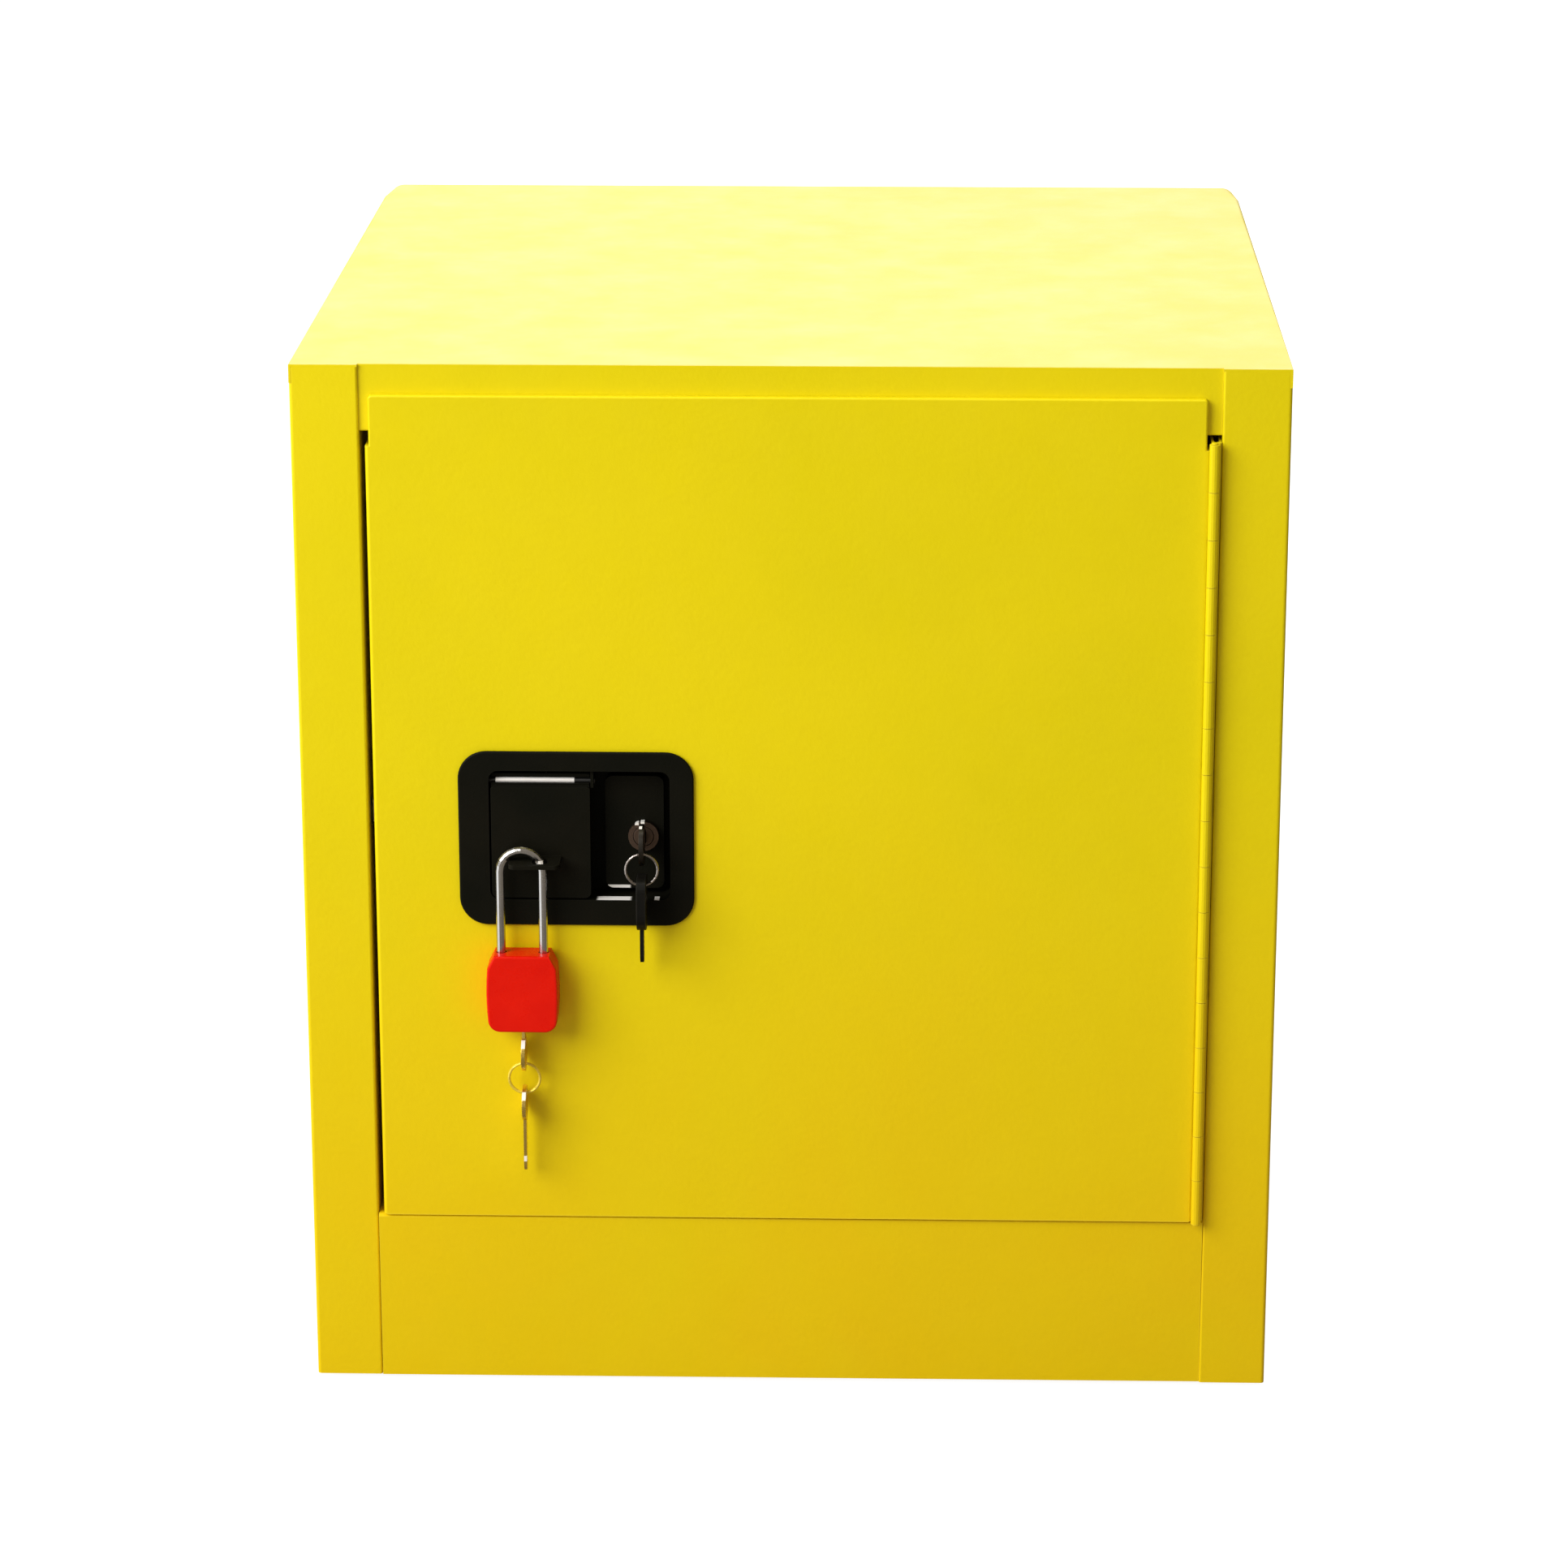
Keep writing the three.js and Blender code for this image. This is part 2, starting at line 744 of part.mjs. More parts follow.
function ventCap([x, z]) {
  const seat = backY - sheet;
  const lid = rod("y", [x, z], ventBore + ventWall, [seat, seat + ventCapThickness], roundSides);
  const plug = rod("y", [x, z], ventBore - fit, [seat - ventPlugDepth, seat + fit], roundSides);
  const grip = block(
    [x - ventGrip / 2, x + ventGrip / 2],
    [seat + ventCapThickness - ventGripDepth, seat + ventCapThickness + overrun],
    [z - ventGrip / 2, z + ventGrip / 2],
  );
  return cut(join(lid, plug), grip);
}

function earthStud() {
  const panelY = backY - sheet - fit;
  const inner = panelY - sheet - fit;
  const centre = [studX, studZ];
  const shaft = rod("y", centre, studRadius, [inner - studInside, panelY + studLength]);
  const head = rod("y", centre, studNut, [inner - studInside, inner], hexSides);
  const washer = rod("y", centre, studWasher, [panelY + fit, panelY + fit + studWasherThickness]);
  const nutStart = panelY + studWasherThickness;
  const nut = rod("y", centre, studNut, [nutStart, nutStart + studNutThickness], hexSides);
  return join(shaft, head, washer, nut);
}

function foot([x, y]) {
  const profile = [
    [0, 0],
    [footTopRadius, 0],
    [footRadius, footHeight / 2],
    [footRadius, footHeight - fit],
    [footStem, footHeight - fit],
    [footStem, footHeight + footStemRise],
    [0, footHeight + footStemRise],
  ].map(([r, z]) => new THREE.Vector2(r, z));
  const lathe = new THREE.LatheGeometry(profile, roundSides);
  lathe.rotateX(Math.PI / 2).translate(x, y, 0);
  return solid(lathe);
}

function strikePlate() {
  const x = -openX - sheet - fit;
  const middleY = boltY + boltDeep / 2;
  const plate = block(
    [x - strikeThickness, x],
    [middleY - strikeWidth / 2, middleY + strikeWidth / 2],
    [boltZ - strikeHeight / 2, boltZ + strikeHeight / 2],
  );
  return cut(plate, strikeSlot());
}

// Continuous hinge: two leaves whose knuckles take turns along one pin
const hingeBottomZ = sillZ + fit;
const hingeSpan = [hingeBottomZ, headerZ - hingeTopGap];
const knucklePitch = (hingeSpan[1] - hingeSpan[0]) / knuckleCount;

function knuckles(leaf, webX, webBackY, ownsKnuckle) {
  const parts = [leaf];
  const holes = [];
  for (let i = 0; i < knuckleCount; i += 1) {
    if (!ownsKnuckle(i)) continue;
    const start = hingeBottomZ + i * knucklePitch;
    const span = [start + knuckleGap / 2, start + knucklePitch - knuckleGap / 2];
    parts.push(rod("z", [hingeX, hingeY], knuckleRadius, span, knuckleSides));
    parts.push(block(webX, [hingeY, webBackY], span));
    const bore = [span[0] - knuckleGap, span[1] + knuckleGap];
    holes.push(rod("z", [hingeX, hingeY], hingePinRadius + hingeBoreGap, bore, boreSides));
  }
  return cut(join(...parts), ...holes);
}

function doorLeaf() {
  const leafX = [doorRightX + fit, doorRightX + fit + leafThickness];
  const clear = hingeY + knuckleRadius + fit;
  const leaf = block(leafX, [clear, clear + leafDepth], hingeSpan);
  return knuckles(leaf, leafX, clear + fit, (i) => i % 2 === 1);
}

// The leaf on the strip is bent over in front, which carries its knuckles clear of the opening's edge
function frameLeaf() {
  const innerX = hingeX + knuckleRadius - leafThickness;
  const outerX = openX - fit;
  const frontSpan = [frontY, frontY + leafThickness];
  const leaf = join(
    block([outerX - leafThickness, outerX], [frontY, frontY + leafDepth], hingeSpan),
    block([innerX, outerX], frontSpan, hingeSpan),
  );
  return knuckles(leaf, [innerX, innerX + leafThickness], frontSpan[1], (i) => i % 2 === 0);
}

function hingePin() {
  const [bottom, top] = hingeSpan;
  const shaft = rod("z", [hingeX, hingeY], hingePinRadius, [bottom - pinHead, top + pinHead], boreSides);
  const head = (z) => rod("z", [hingeX, hingeY], hingePinRadius + 2 * hingeBoreGap, [z, z + pinHead]);
  return join(shaft, head(top), head(bottom - pinHead));
}

// Door: a folded outer skin whose top laps over the header, and a shallow pan that closes its back
function doorOuterSkin() {
  const line = [
    [doorLeftX, doorBackY],
    [doorLeftX, doorFrontY],
    [doorRightX, doorFrontY],
    [doorRightX, doorBackY],
  ];
  const body = prism("z", foldedSheet(line, sheet, bend), [doorBottomZ, doorBoxTopZ]);
  const lapX = [doorLeftX + lapInset, doorRightX - lapInset];
  const plateOutline = roundedRect(
    lapX,
    [doorBottomZ, doorTopZ],
    [0, 0, cornerRound, cornerRound],
  );
  const lap = cut(
    prism("y", plateOutline, [doorFrontY, doorFrontY + hemDepth]),
    block(
      [lapX[0] + sheet, lapX[1] - sheet],
      [doorFrontY + sheet, doorFrontY + hemDepth + overrun],
      [doorBottomZ - overrun, doorTopZ - sheet],
    ),
    block(
      [doorLeftX - overrun, doorRightX + overrun],
      [doorFrontY - overrun, doorFrontY + hemDepth + overrun],
      [doorBottomZ - overrun, doorBoxTopZ - sheet],
    ),
  );
  const level = (z) => block(
    [doorLeftX + sheet / 2, doorRightX - sheet / 2],
    [doorFrontY + sheet / 2, doorBackY],
    z,
  );
  const skin = join(
    body,
    lap,
    level([doorBottomZ, doorBottomZ + sheet]),
    level([doorBoxTopZ - sheet, doorBoxTopZ]),
  );
  const window = block(
    [pocketLeftX - pocketWall - fit, pocketRightX + pocketWall + fit],
    [doorFrontY - overrun, doorFrontY + overrun],
    [pocketBottomZ - pocketWall - fit, pocketTopZ + pocketWall + fit],
  );
  const boltHole = block(
    [doorLeftX - overrun, doorLeftX + overrun],
    [boltY - caseGap, boltY + boltDeep + caseGap],
    [boltZ - boltHigh / 2 - caseGap, boltZ + boltHigh / 2 + caseGap],
  );
  return cut(skin, window, boltHole);
}

function doorInnerSkin() {
  const inset = sheet + fit;
  const x = [doorLeftX + inset, doorRightX - inset];
  const z = [doorBottomZ + inset, doorBoxTopZ - inset];
  const tub = block(x, [doorBackY - sheet - innerLip, doorBackY], z);
  const room = block(
    [x[0] + sheet, x[1] - sheet],
    [doorBackY - sheet - innerLip - overrun, doorBackY - sheet],
    [z[0] + sheet, z[1] - sheet],
  );
  return cut(tub, room);
}

// Latch housing: rounded face plate, pocket, raised deck for the lock, and an ear for the paddle's pin
function lockHousing() {
  const outline = roundedRect(
    [plateLeftX + plateBevel, plateRightX - plateBevel],
    [plateBottomZ + plateBevel, plateTopZ - plateBevel],
    plateRound - plateBevel,
  );
  const bevel = { bevelEnabled: true, bevelSize: plateBevel, bevelThickness: plateBevel, bevelSegments: 1 };
  const face = prism("y", outline, [plateFrontY + plateBevel, plateBackY - plateBevel], {
    ...bevel,
    curveSegments: cornerSteps,
  });
  const pocketOutline = (grow) => roundedRect(
    [pocketLeftX - grow, pocketRightX + grow],
    [pocketBottomZ - grow, pocketTopZ + grow],
    pocketRound + grow,
  );
  const shell = prism("y", pocketOutline(pocketWall), [plateBackY - fit, pocketBackY]);
  const room = prism("y", pocketOutline(0), [plateFrontY - overrun, pocketFloorY]);
  const deckSpan = [pocketBottomZ + deckFoot, pocketTopZ - deckHead];
  const deckOutline = roundedRect([deckLeftX, deckRightX], deckSpan, deckRound);
  const deck = prism("y", deckOutline, [deckFrontY, pocketFloorY + fit]);
  const earX = paddleRightX + fit;
  const ear = block(
    [earX, earX + earThickness],
    [plateBackY, pocketFloorY + fit],
    [paddlePinZ - paddlePinRadius - barrelWall, pocketTopZ + fit],
  );
  const pinSpan = [pocketLeftX - overrun, earX + overrun];
  const pinHole = rod("x", [paddlePinY, paddlePinZ], paddlePinRadius + fit / 2, pinSpan);
  const lockSpan = [deckFrontY - overrun, pocketBackY + overrun];
  const lockHole = rod("y", [lockX, lockZ], lockBarrelRadius + fit, lockSpan, roundSides);
  const tailSlot = block(
    [tailX - tailWidth / 2 - tailGap, tailX + tailWidth / 2 + tailGap],
    [pocketFloorY - fit, pocketBackY + overrun],
    [paddlePinZ - tailDrop, paddlePinZ + tailThickness],
  );
  return cut(join(cut(join(face, shell), room), deck, ear), pinHole, lockHole, tailSlot);
}

function paddlePin() {
  const end = paddleRightX + fit + earThickness + pinHead;
  const start = pocketLeftX - pocketWall + fit;
  const shaft = rod("x", [paddlePinY, paddlePinZ], paddlePinRadius, [start, end]);
  const head = rod("x", [paddlePinY, paddlePinZ], paddlePinRadius + fit, [end - pinHead + fit, end]);
  return join(shaft, head);
}

// Paddle: face plate with turned ribs, an open barrel round the pin, a tail through the pocket floor
// and a level tab with a slot for the padlock
function liftPaddle() {
  const outline = roundedRect(
    [paddleLeftX, paddleRightX],
    [paddleBottomZ, paddleTopZ],
    [paddleRound, paddleRound, paddleRound / 2, paddleRound / 2],
  );
  const plateEnd = paddleFrontY + paddleThickness;
  const plate = prism("y", outline, [paddleFrontY, plateEnd]);
  const ribSpan = [paddleFrontY + fit, plateEnd + paddleRib];
  const ribs = cut(
    prism("y", outline, ribSpan),
    block(
      [paddleLeftX + paddleRibThickness, paddleRightX - paddleRibThickness],
      [paddleFrontY - overrun, ribSpan[1] + overrun],
      [paddleBottomZ + paddleRibThickness, paddleTopZ + overrun],
    ),
  );
  const barrelRadius = paddlePinRadius + fit + barrelWall;
  const barrelX = [paddleLeftX + fit, paddleRightX - fit];
  const barrel = rod("x", [paddlePinY, paddlePinZ], barrelRadius, barrelX, roundSides);
  const web = block(
    barrelX,
    [plateEnd - paddleThickness / 2, paddlePinY + barrelRadius],
    [paddleTopZ - paddleThickness, paddlePinZ - paddlePinRadius - fit],
  );
  const pinSpan = [barrelX[0] - overrun, barrelX[1] + overrun];
  const pinRoom = rod("x", [paddlePinY, paddlePinZ], paddlePinRadius + fit, pinSpan);
  const mouth = block(
    pinSpan,
    [paddlePinY - barrelRadius - overrun, paddlePinY],
    [paddlePinZ - paddlePinRadius / 2, paddlePinZ + barrelRadius + overrun],
  );
  const tail = block(
    [tailX - tailWidth / 2, tailX + tailWidth / 2],
    [paddlePinY + paddlePinRadius + fit, paddlePinY + tailReach],
    [paddlePinZ - tailThickness / 2, paddlePinZ + tailThickness / 2],
  );
  return join(cut(join(plate, ribs, barrel, web), pinRoom, mouth), tail, padlockTab());
}

function padlockTab() {
  const inner = shackleArc - shackleRod;
  const top = crownZ - shackleArc + Math.sqrt(inner * inner - tabHalf * tabHalf) - fit;
  const x = [padlockX - tabHalf, padlockX + tabRight];
  const swungLegY = padlockY - shackleRod - tabSwing;
  const outline = roundedRect(x, [swungLegY - tabFront, paddleFrontY + fit], [tabRound, tabRound, 0, 0]);
  const tab = prism("z", outline, [top - tabThickness, top]);
  const slot = roundedRect(
    [padlockX + tabHalf, padlockX + shackleArc + shackleRod + tabSlotGap],
    [swungLegY, padlockY + shackleRod + tabSlotGap],
    tabRound - tabSlotGap,
  );
  return cut(tab, prism("z", slot, [top - tabThickness - overrun, top + overrun]));
}

// Bell crank: the tail presses its level arm down and its stub draws the bolt back
function bellCrank() {
  const span = [crankY, crankY + crankPlate];
  const hub = rod("y", [crankX, crankZ], crankHub, span);
  const arm = block([crankX - crankArm, crankX], span, [crankArmTop - crankArmWidth, crankArmTop]);
  const leg = block(
    [crankX - crankFootRadius, crankX + crankFootRadius],
    span,
    [crankZ - crankLeg, crankZ],
  );
  const toe = rod("y", [crankX, boltZ], crankFootRadius, span);
  const stub = rod("y", [crankX, boltZ], crankStub, [crankY, barY + boltBar + fit]);
  const bore = [crankY - overrun, crankY + crankPlate + overrun];
  const hole = rod("y", [crankX, crankZ], crankPinRadius + fit, bore);
  return cut(join(hub, arm, leg, toe, stub), hole);
}

function crankPin() {
  const end = crankY + crankPlate + fit + pinHead;
  const start = pocketBackY + fit;
  const centre = [crankX, crankZ];
  return join(
    rod("y", centre, crankPinRadius, [start, end]),
    rod("y", centre, crankPinRadius + crankStub, [start, crankY - fit]),
    rod("y", centre, crankPinRadius + crankStub, [end - pinHead, end]),
  );
}

// Bolt: a nose sloped on its inner side, a round rod and a flat bar with a slot for the crank's stub
function latchBolt() {
  const tip = doorLeftX - boltReach;
  const noseEnd = tip + boltNose;
  const z = [boltZ - boltHigh / 2, boltZ + boltHigh / 2];
  const nose = prism("z", [
    new THREE.Vector2(tip, boltY),
    new THREE.Vector2(noseEnd, boltY),
    new THREE.Vector2(noseEnd, boltY + boltDeep),
    new THREE.Vector2(tip + boltSlopeRun, boltY + boltDeep),
    new THREE.Vector2(tip, boltY + boltDeep - boltSlope),
  ], z);
  const rodEnd = noseEnd + boltRodLength;
  const rodY = boltY + boltDeep / 2;
  const stem = rod("x", [rodY, boltZ], boltRodRadius, [noseEnd - fit, rodEnd + fit]);
  const joint = block(
    [rodEnd, rodEnd + boltBlock],
    [rodY - boltRodRadius, Math.max(barY + boltBar, rodY + boltRodRadius)],
    [boltZ - boltBarHeight / 2, boltZ + boltBarHeight / 2],
  );
  const bar = block(
    [rodEnd, barEndX],
    [barY, barY + boltBar],
    [boltZ - boltBarHeight / 2, boltZ + boltBarHeight / 2],
  );
  const eye = block(
    [crankX - boltEyeLength / 2, barEndX],
    [barY, barY + boltBar],
    [boltZ - boltBarHeight / 2, boltZ - boltBarHeight / 2 + boltBarEyeHeight],
  );
  const slotHalf = crankStub + boltSlotGap;
  const slotLow = boltZ - crankStub - boltSlotGap;
  const slot = block(
    [crankX - slotHalf, crankX + slotHalf],
    [barY - overrun, barY + boltBar + overrun],
    [slotLow, slotLow + boltSlotHigh],
  );
  return cut(join(nose, stem, joint, bar, eye), slot);
}

// The bolt's case: a bracket behind the door's edge with an end wall that guides the rod
function boltCase() {
  const x = [doorLeftX + sheet + fit, doorLeftX - boltReach + boltNose + caseRoom + caseWall];
  const y = [boltY - caseGap - caseWall, boltY + boltDeep + caseGap];
  const half = boltHigh / 2 + caseGap + caseWall;
  const tube = cut(
    block(x, y, [boltZ - half, boltZ + half]),
    block(
      [x[0] - overrun, x[1] - caseWall],
      [y[0] + caseWall, y[1] + overrun],
      [boltZ - half + caseWall, boltZ + half - caseWall],
    ),
  );
  const rodHole = rod(
    "x",
    [boltY + boltDeep / 2, boltZ],
    boltRodRadius + fit,
    [x[1] - caseWall - overrun, x[1] + overrun],
  );
  return cut(tube, rodHole);
}

function boltSpring() {
  const start = doorLeftX - boltReach + boltNose + fit + springWire;
  const length = caseRoom - 2 * fit - 2 * springWire;
  const path = new CoilPath(springRadius, length, springTurns);
  const coil = sweep(path, springWire, springSides, springTurns * springSteps);
  return coil.translate([start, boltY + boltDeep / 2, boltZ]);
}

// Cylinder lock: rim and barrel, a nut behind the pocket, the turning plug and its cam
function lockCylinder() {
  const rimY = deckFrontY - fit;
  const centre = [lockX, lockZ];
  const rim = rod("y", centre, lockRimRadius, [rimY - lockRim, rimY], roundSides);
  const barrelEnd = camY - 2 * fit;
  const barrel = rod("y", centre, lockBarrelRadius, [rimY - lockRim, barrelEnd], roundSides);
  const span = [rimY - lockRim - overrun, barrelEnd + overrun];
  return cut(join(rim, barrel), rod("y", centre, plugRadius + plugGap, span, roundSides));
}

function lockNut() {
  const start = pocketBackY + fit;
  const centre = [lockX, lockZ];
  const end = start + nutThickness;
  const hex = rod("y", centre, nutRadius, [start, end], hexSides);
  const span = [start - overrun, end + overrun];
  return cut(hex, rod("y", centre, lockBarrelRadius + fit / 2, span, roundSides));
}

function lockPlug() {
  const centre = [lockX, lockZ];
  const shoulder = camY - 2 * fit;
  const screwY = camY + camThickness + fit;
  const body = rod("y", centre, plugRadius, [lockFaceY, shoulder], roundSides);
  const spigot = rod("y", centre, camSpigot, [shoulder - fit, screwY]);
  const screw = rod("y", centre, camScrew, [screwY, screwY + camScrewHead]);
  const keyway = block(
    [lockX - bladeThickness / 2 - keywayGap, lockX + bladeThickness / 2 + keywayGap],
    [lockFaceY - overrun, lockFaceY + lockBlade + keywayGap],
    [lockZ - bladeWidth / 2 - keywayGap, lockZ + bladeWidth / 2 + keywayGap],
  );
  return cut(join(body, spigot, screw), keyway);
}

// The cam stands up from the plug; a quarter turn lays its tip behind the end of the bolt's bar
function lockCam() {
  const span = [camY, camY + camThickness];
  const half = camWidth / 2;
  const x = [lockX - half, lockX + half];
  const outline = roundedRect(x, [lockZ - half, lockZ + camLength], [half, half, fit, fit]);
  const hole = rod("y", [lockX, lockZ], camSpigot + fit, [camY - overrun, camY + camThickness + overrun]);
  return cut(prism("y", outline, span), hole);
}

// A flat key in the y-z plane: blade with cuts, shank and round bow. The blade's tip points along
// +Y when laid in the door lock and along +Z when hung or pushed into the padlock.
function keyBlade(length, bladeWide, thickness, shank, bow, bowThickness) {
  const half = bladeWide / 2;
  const shape = new THREE.Shape();
  shape.moveTo(-half, -shank);
  shape.lineTo(half, -shank);
  shape.lineTo(half, length - half);
  shape.lineTo(half / 2, length);
  shape.lineTo(-half / 2, length);
  const bite = half / 2;
  const run = (length - bladeWide) / (2 * bladeCuts);
  for (let i = 0; i < bladeCuts; i += 1) {
    const top = length - half - 2 * i * run - run / 2;
    shape.lineTo(-half, top);
    shape.lineTo(-half + bite, top - run);
  }
  shape.lineTo(-half, -shank + run);
  const blade = prism("x", shape, [-thickness / 2, thickness / 2]);
  const bowSpan = [-bowThickness / 2, bowThickness / 2];
  return join(blade, rod("x", [0, -shank - bow + half / 2], bow, bowSpan, roundSides));
}

function doorKey() {
  const length = lockBlade - keywayGap;
  const key = keyBlade(length, bladeWidth, bladeThickness, lockShank, lockBowRadius, lockBowThickness);
  const laid = key.rotate([-90, 0, 0]).translate([lockX, lockFaceY + keywayGap, lockZ]);
  const hole = rod("x", [lockHoleY, lockHoleZ], lockBowHoleRadius, [lockX - overrun, lockX + overrun]);
  return cut(laid, hole);
}

function keyRing(x, y, z, radius) {
  const ring = new THREE.TorusGeometry(radius, ringWire, ringSides, ringSteps);
  ring.rotateX(Math.PI / 2).translate(x, y, z);
  return solid(ring);
}

// Where the hole of a key lies when the key hangs from the bottom of its ring
function hungHoleZ(ringZ, radius, holeRadius, thickness) {
  const lowAtFaces = Math.sqrt(radius * radius - (thickness * thickness) / 4);
  return ringZ - lowAtFaces - holeRadius + ringWire + 2 * fit;
}

function plasticHeadKey() {
  const half = spareHeadThickness / 2;
  const outline = roundedRect(
    [-spareHeadRadius, spareHeadRadius],
    [-spareHeadHeight + spareHoleFromTop, spareHoleFromTop],
    [spareHeadRadius - fit, spareHeadRadius - fit, spareHeadRadius / 2, spareHeadRadius / 2],
  );
  const bevel = { bevelEnabled: true, bevelSize: fit, bevelThickness: fit, bevelSegments: 1 };
  const head = prism("x", outline, [-half + fit, half - fit], bevel);
  const blade = keyBlade(spareBlade, bladeWidth, bladeThickness, lockShank, bladeWidth / 2, bladeThickness);
  const hung = blade.rotate([180, 0, 0]).translate([0, 0, -spareHeadHeight + spareHoleFromTop]);
  const hole = rod("x", [0, 0], spareHoleRadius, [-overrun, overrun]);
  return cut(join(head, hung), hole);
}

function smallKey(length) {
  return keyBlade(length, padBladeWidth, padBladeThickness, padShank, padBowRadius, padBowThickness);
}

function bareKey() {
  const bowCentre = -padShank - padBowRadius + padBladeWidth / 4;
  const holeFromTop = padBowRadius / 2;
  const hung = smallKey(padSpareBlade).rotate([180, 0, 0]).translate([0, 0, bowCentre - holeFromTop]);
  return cut(hung, rod("x", [0, 0], padBowHoleRadius, [-overrun, overrun]));
}

// Padlock
function padlockShackle() {
  const crown = sweep(new ArcPath(shackleArc), shackleRod, smallSides, crownSteps);
  const top = crownZ - shackleArc;
  const leg = (x, deep) => rod("z", [x, padlockY], shackleRod, [padlockTopZ - deep, top + fit]);
  return join(
    crown.translate([padlockX, padlockY, top]),
    leg(padlockX - shackleArc, heelDepth),
    leg(padlockX + shackleArc, toeDepth),
  );
}

function padlockBody() {
  const half = padlockWidth / 2 - padlockBevel;
  const low = padlockBottomZ + padlockBevel;
  const high = padlockTopZ - padlockBevel;
  const middle = (low + high) / 2;
  const shape = new THREE.Shape();
  const round = padlockFootRound;
  const waist = half - padlockBulge;
  shape.moveTo(padlockX - waist + round, low);
  shape.lineTo(padlockX + waist - round, low);
  shape.absarc(padlockX + waist - round, low + round, round, -Math.PI / 2, 0, false);
  shape.quadraticCurveTo(padlockX + half + padlockBulge, middle, padlockX + waist, high - padlockShoulder);
  shape.lineTo(padlockX + waist - padlockShoulder / 2, high);
  shape.lineTo(padlockX - waist + padlockShoulder / 2, high);
  shape.lineTo(padlockX - waist, high - padlockShoulder);
  shape.quadraticCurveTo(padlockX - half - padlockBulge, middle, padlockX - waist, low + round);
  shape.absarc(padlockX - waist + round, low + round, round, Math.PI, (3 * Math.PI) / 2, false);
  const halfDeep = padlockThickness / 2 - padlockBevel;
  const lump = prism("y", shape, [padlockY - halfDeep, padlockY + halfDeep], {
    bevelEnabled: true,
    bevelSize: padlockBevel,
    bevelThickness: padlockBevel,
    bevelSegments: bevelSteps,
    curveSegments: cornerSteps,
  });
  const legHole = (x, depth) => rod(
    "z",
    [x, padlockY],
    shackleRod + legHoleGap,
    [padlockTopZ - depth - 2 * fit, padlockTopZ + overrun],
  );
  const plugHole = rod(
    "z",
    [padlockX, padlockY],
    padPlugRadius + plugGap,
    [padlockBottomZ - overrun, padlockBottomZ + padPlugDepth + 2 * fit],
    roundSides,
  );
  return cut(
    lump,
    legHole(padlockX - shackleArc, heelDepth),
    legHole(padlockX + shackleArc, toeDepth),
    plugHole,
  );
}

function padlockPlug() {
  const plug = rod(
    "z",
    [padlockX, padlockY],
    padPlugRadius,
    [padlockBottomZ + fit, padlockBottomZ + padPlugDepth],
    roundSides,
  );
  const keyway = block(
    [padlockX - padBladeThickness / 2 - keywayGap, padlockX + padBladeThickness / 2 + keywayGap],
    [padlockY - padBladeWidth / 2 - keywayGap, padlockY + padBladeWidth / 2 + keywayGap],
    [padlockBottomZ - overrun, padlockBottomZ + padBlade + keywayGap],
  );
  return cut(plug, keyway);
}

function padlockKey() {
  const hole = rod("x", [padlockY, padHoleZ], padBowHoleRadius, [padlockX - overrun, padlockX + overrun]);
  return cut(smallKey(padBlade).translate([padlockX, padlockY, padlockBottomZ]), hole);
}

// Places of the pieces that come in sets
const ventPlaces = [
  [-sideX + ventInset, topZ - ventDrop],
  [sideX - ventInset, sillZ + ventRise],
];
const studX = -sideX + studInset;
const studZ = floorZ + studHeight;
const bothSides = [-1, 1];
const footPlaces = bothSides.flatMap((side) => {
  return bothSides.map((end) => [side * (sideX - footInset), end * (backY - footInset)]);
});
const standardBottomZ = sillZ + standardFoot;
const standardTopZ = linerTopZ - standardHead;
const standardPlaces = [
  [-1, jambY + standardSetIn, "left_front"],
  [-1, linerBackY - standardSetIn, "left_back"],
  [1, jambY + standardSetIn, "right_front"],
  [1, linerBackY - standardSetIn, "right_back"],
];
const lockFaceY = deckFrontY - fit - lockRim;
const lockHoleZ = lockZ - lockBowHoleDrop;
const lockBowEndY = lockFaceY + keywayGap - lockShank - 2 * lockBowRadius + bladeWidth / 4;
const lockHoleY = lockBowEndY + lockBowHoleFromEnd;
const doorRingZ = lockHoleZ - lockBowHoleRadius + ringWire + fit - ringRadius;
const doorSpareZ = hungHoleZ(doorRingZ, ringRadius, spareHoleRadius, spareHeadThickness);
const padHoleZ = padlockBottomZ - padShank - 2 * padBowRadius + padBladeWidth / 4 + padBowRadius / 2;
const padRingZ = padHoleZ - padBowHoleRadius + ringWire + fit - padRingRadius;
const padSpareZ = hungHoleZ(padRingZ, padRingRadius, padBowHoleRadius, padBowThickness);
const crankArmTop = paddlePinZ - tailThickness / 2 - fit;

// The scene graph
const cabinet = new THREE.Group();
cabinet.name = "safety_cabinet";

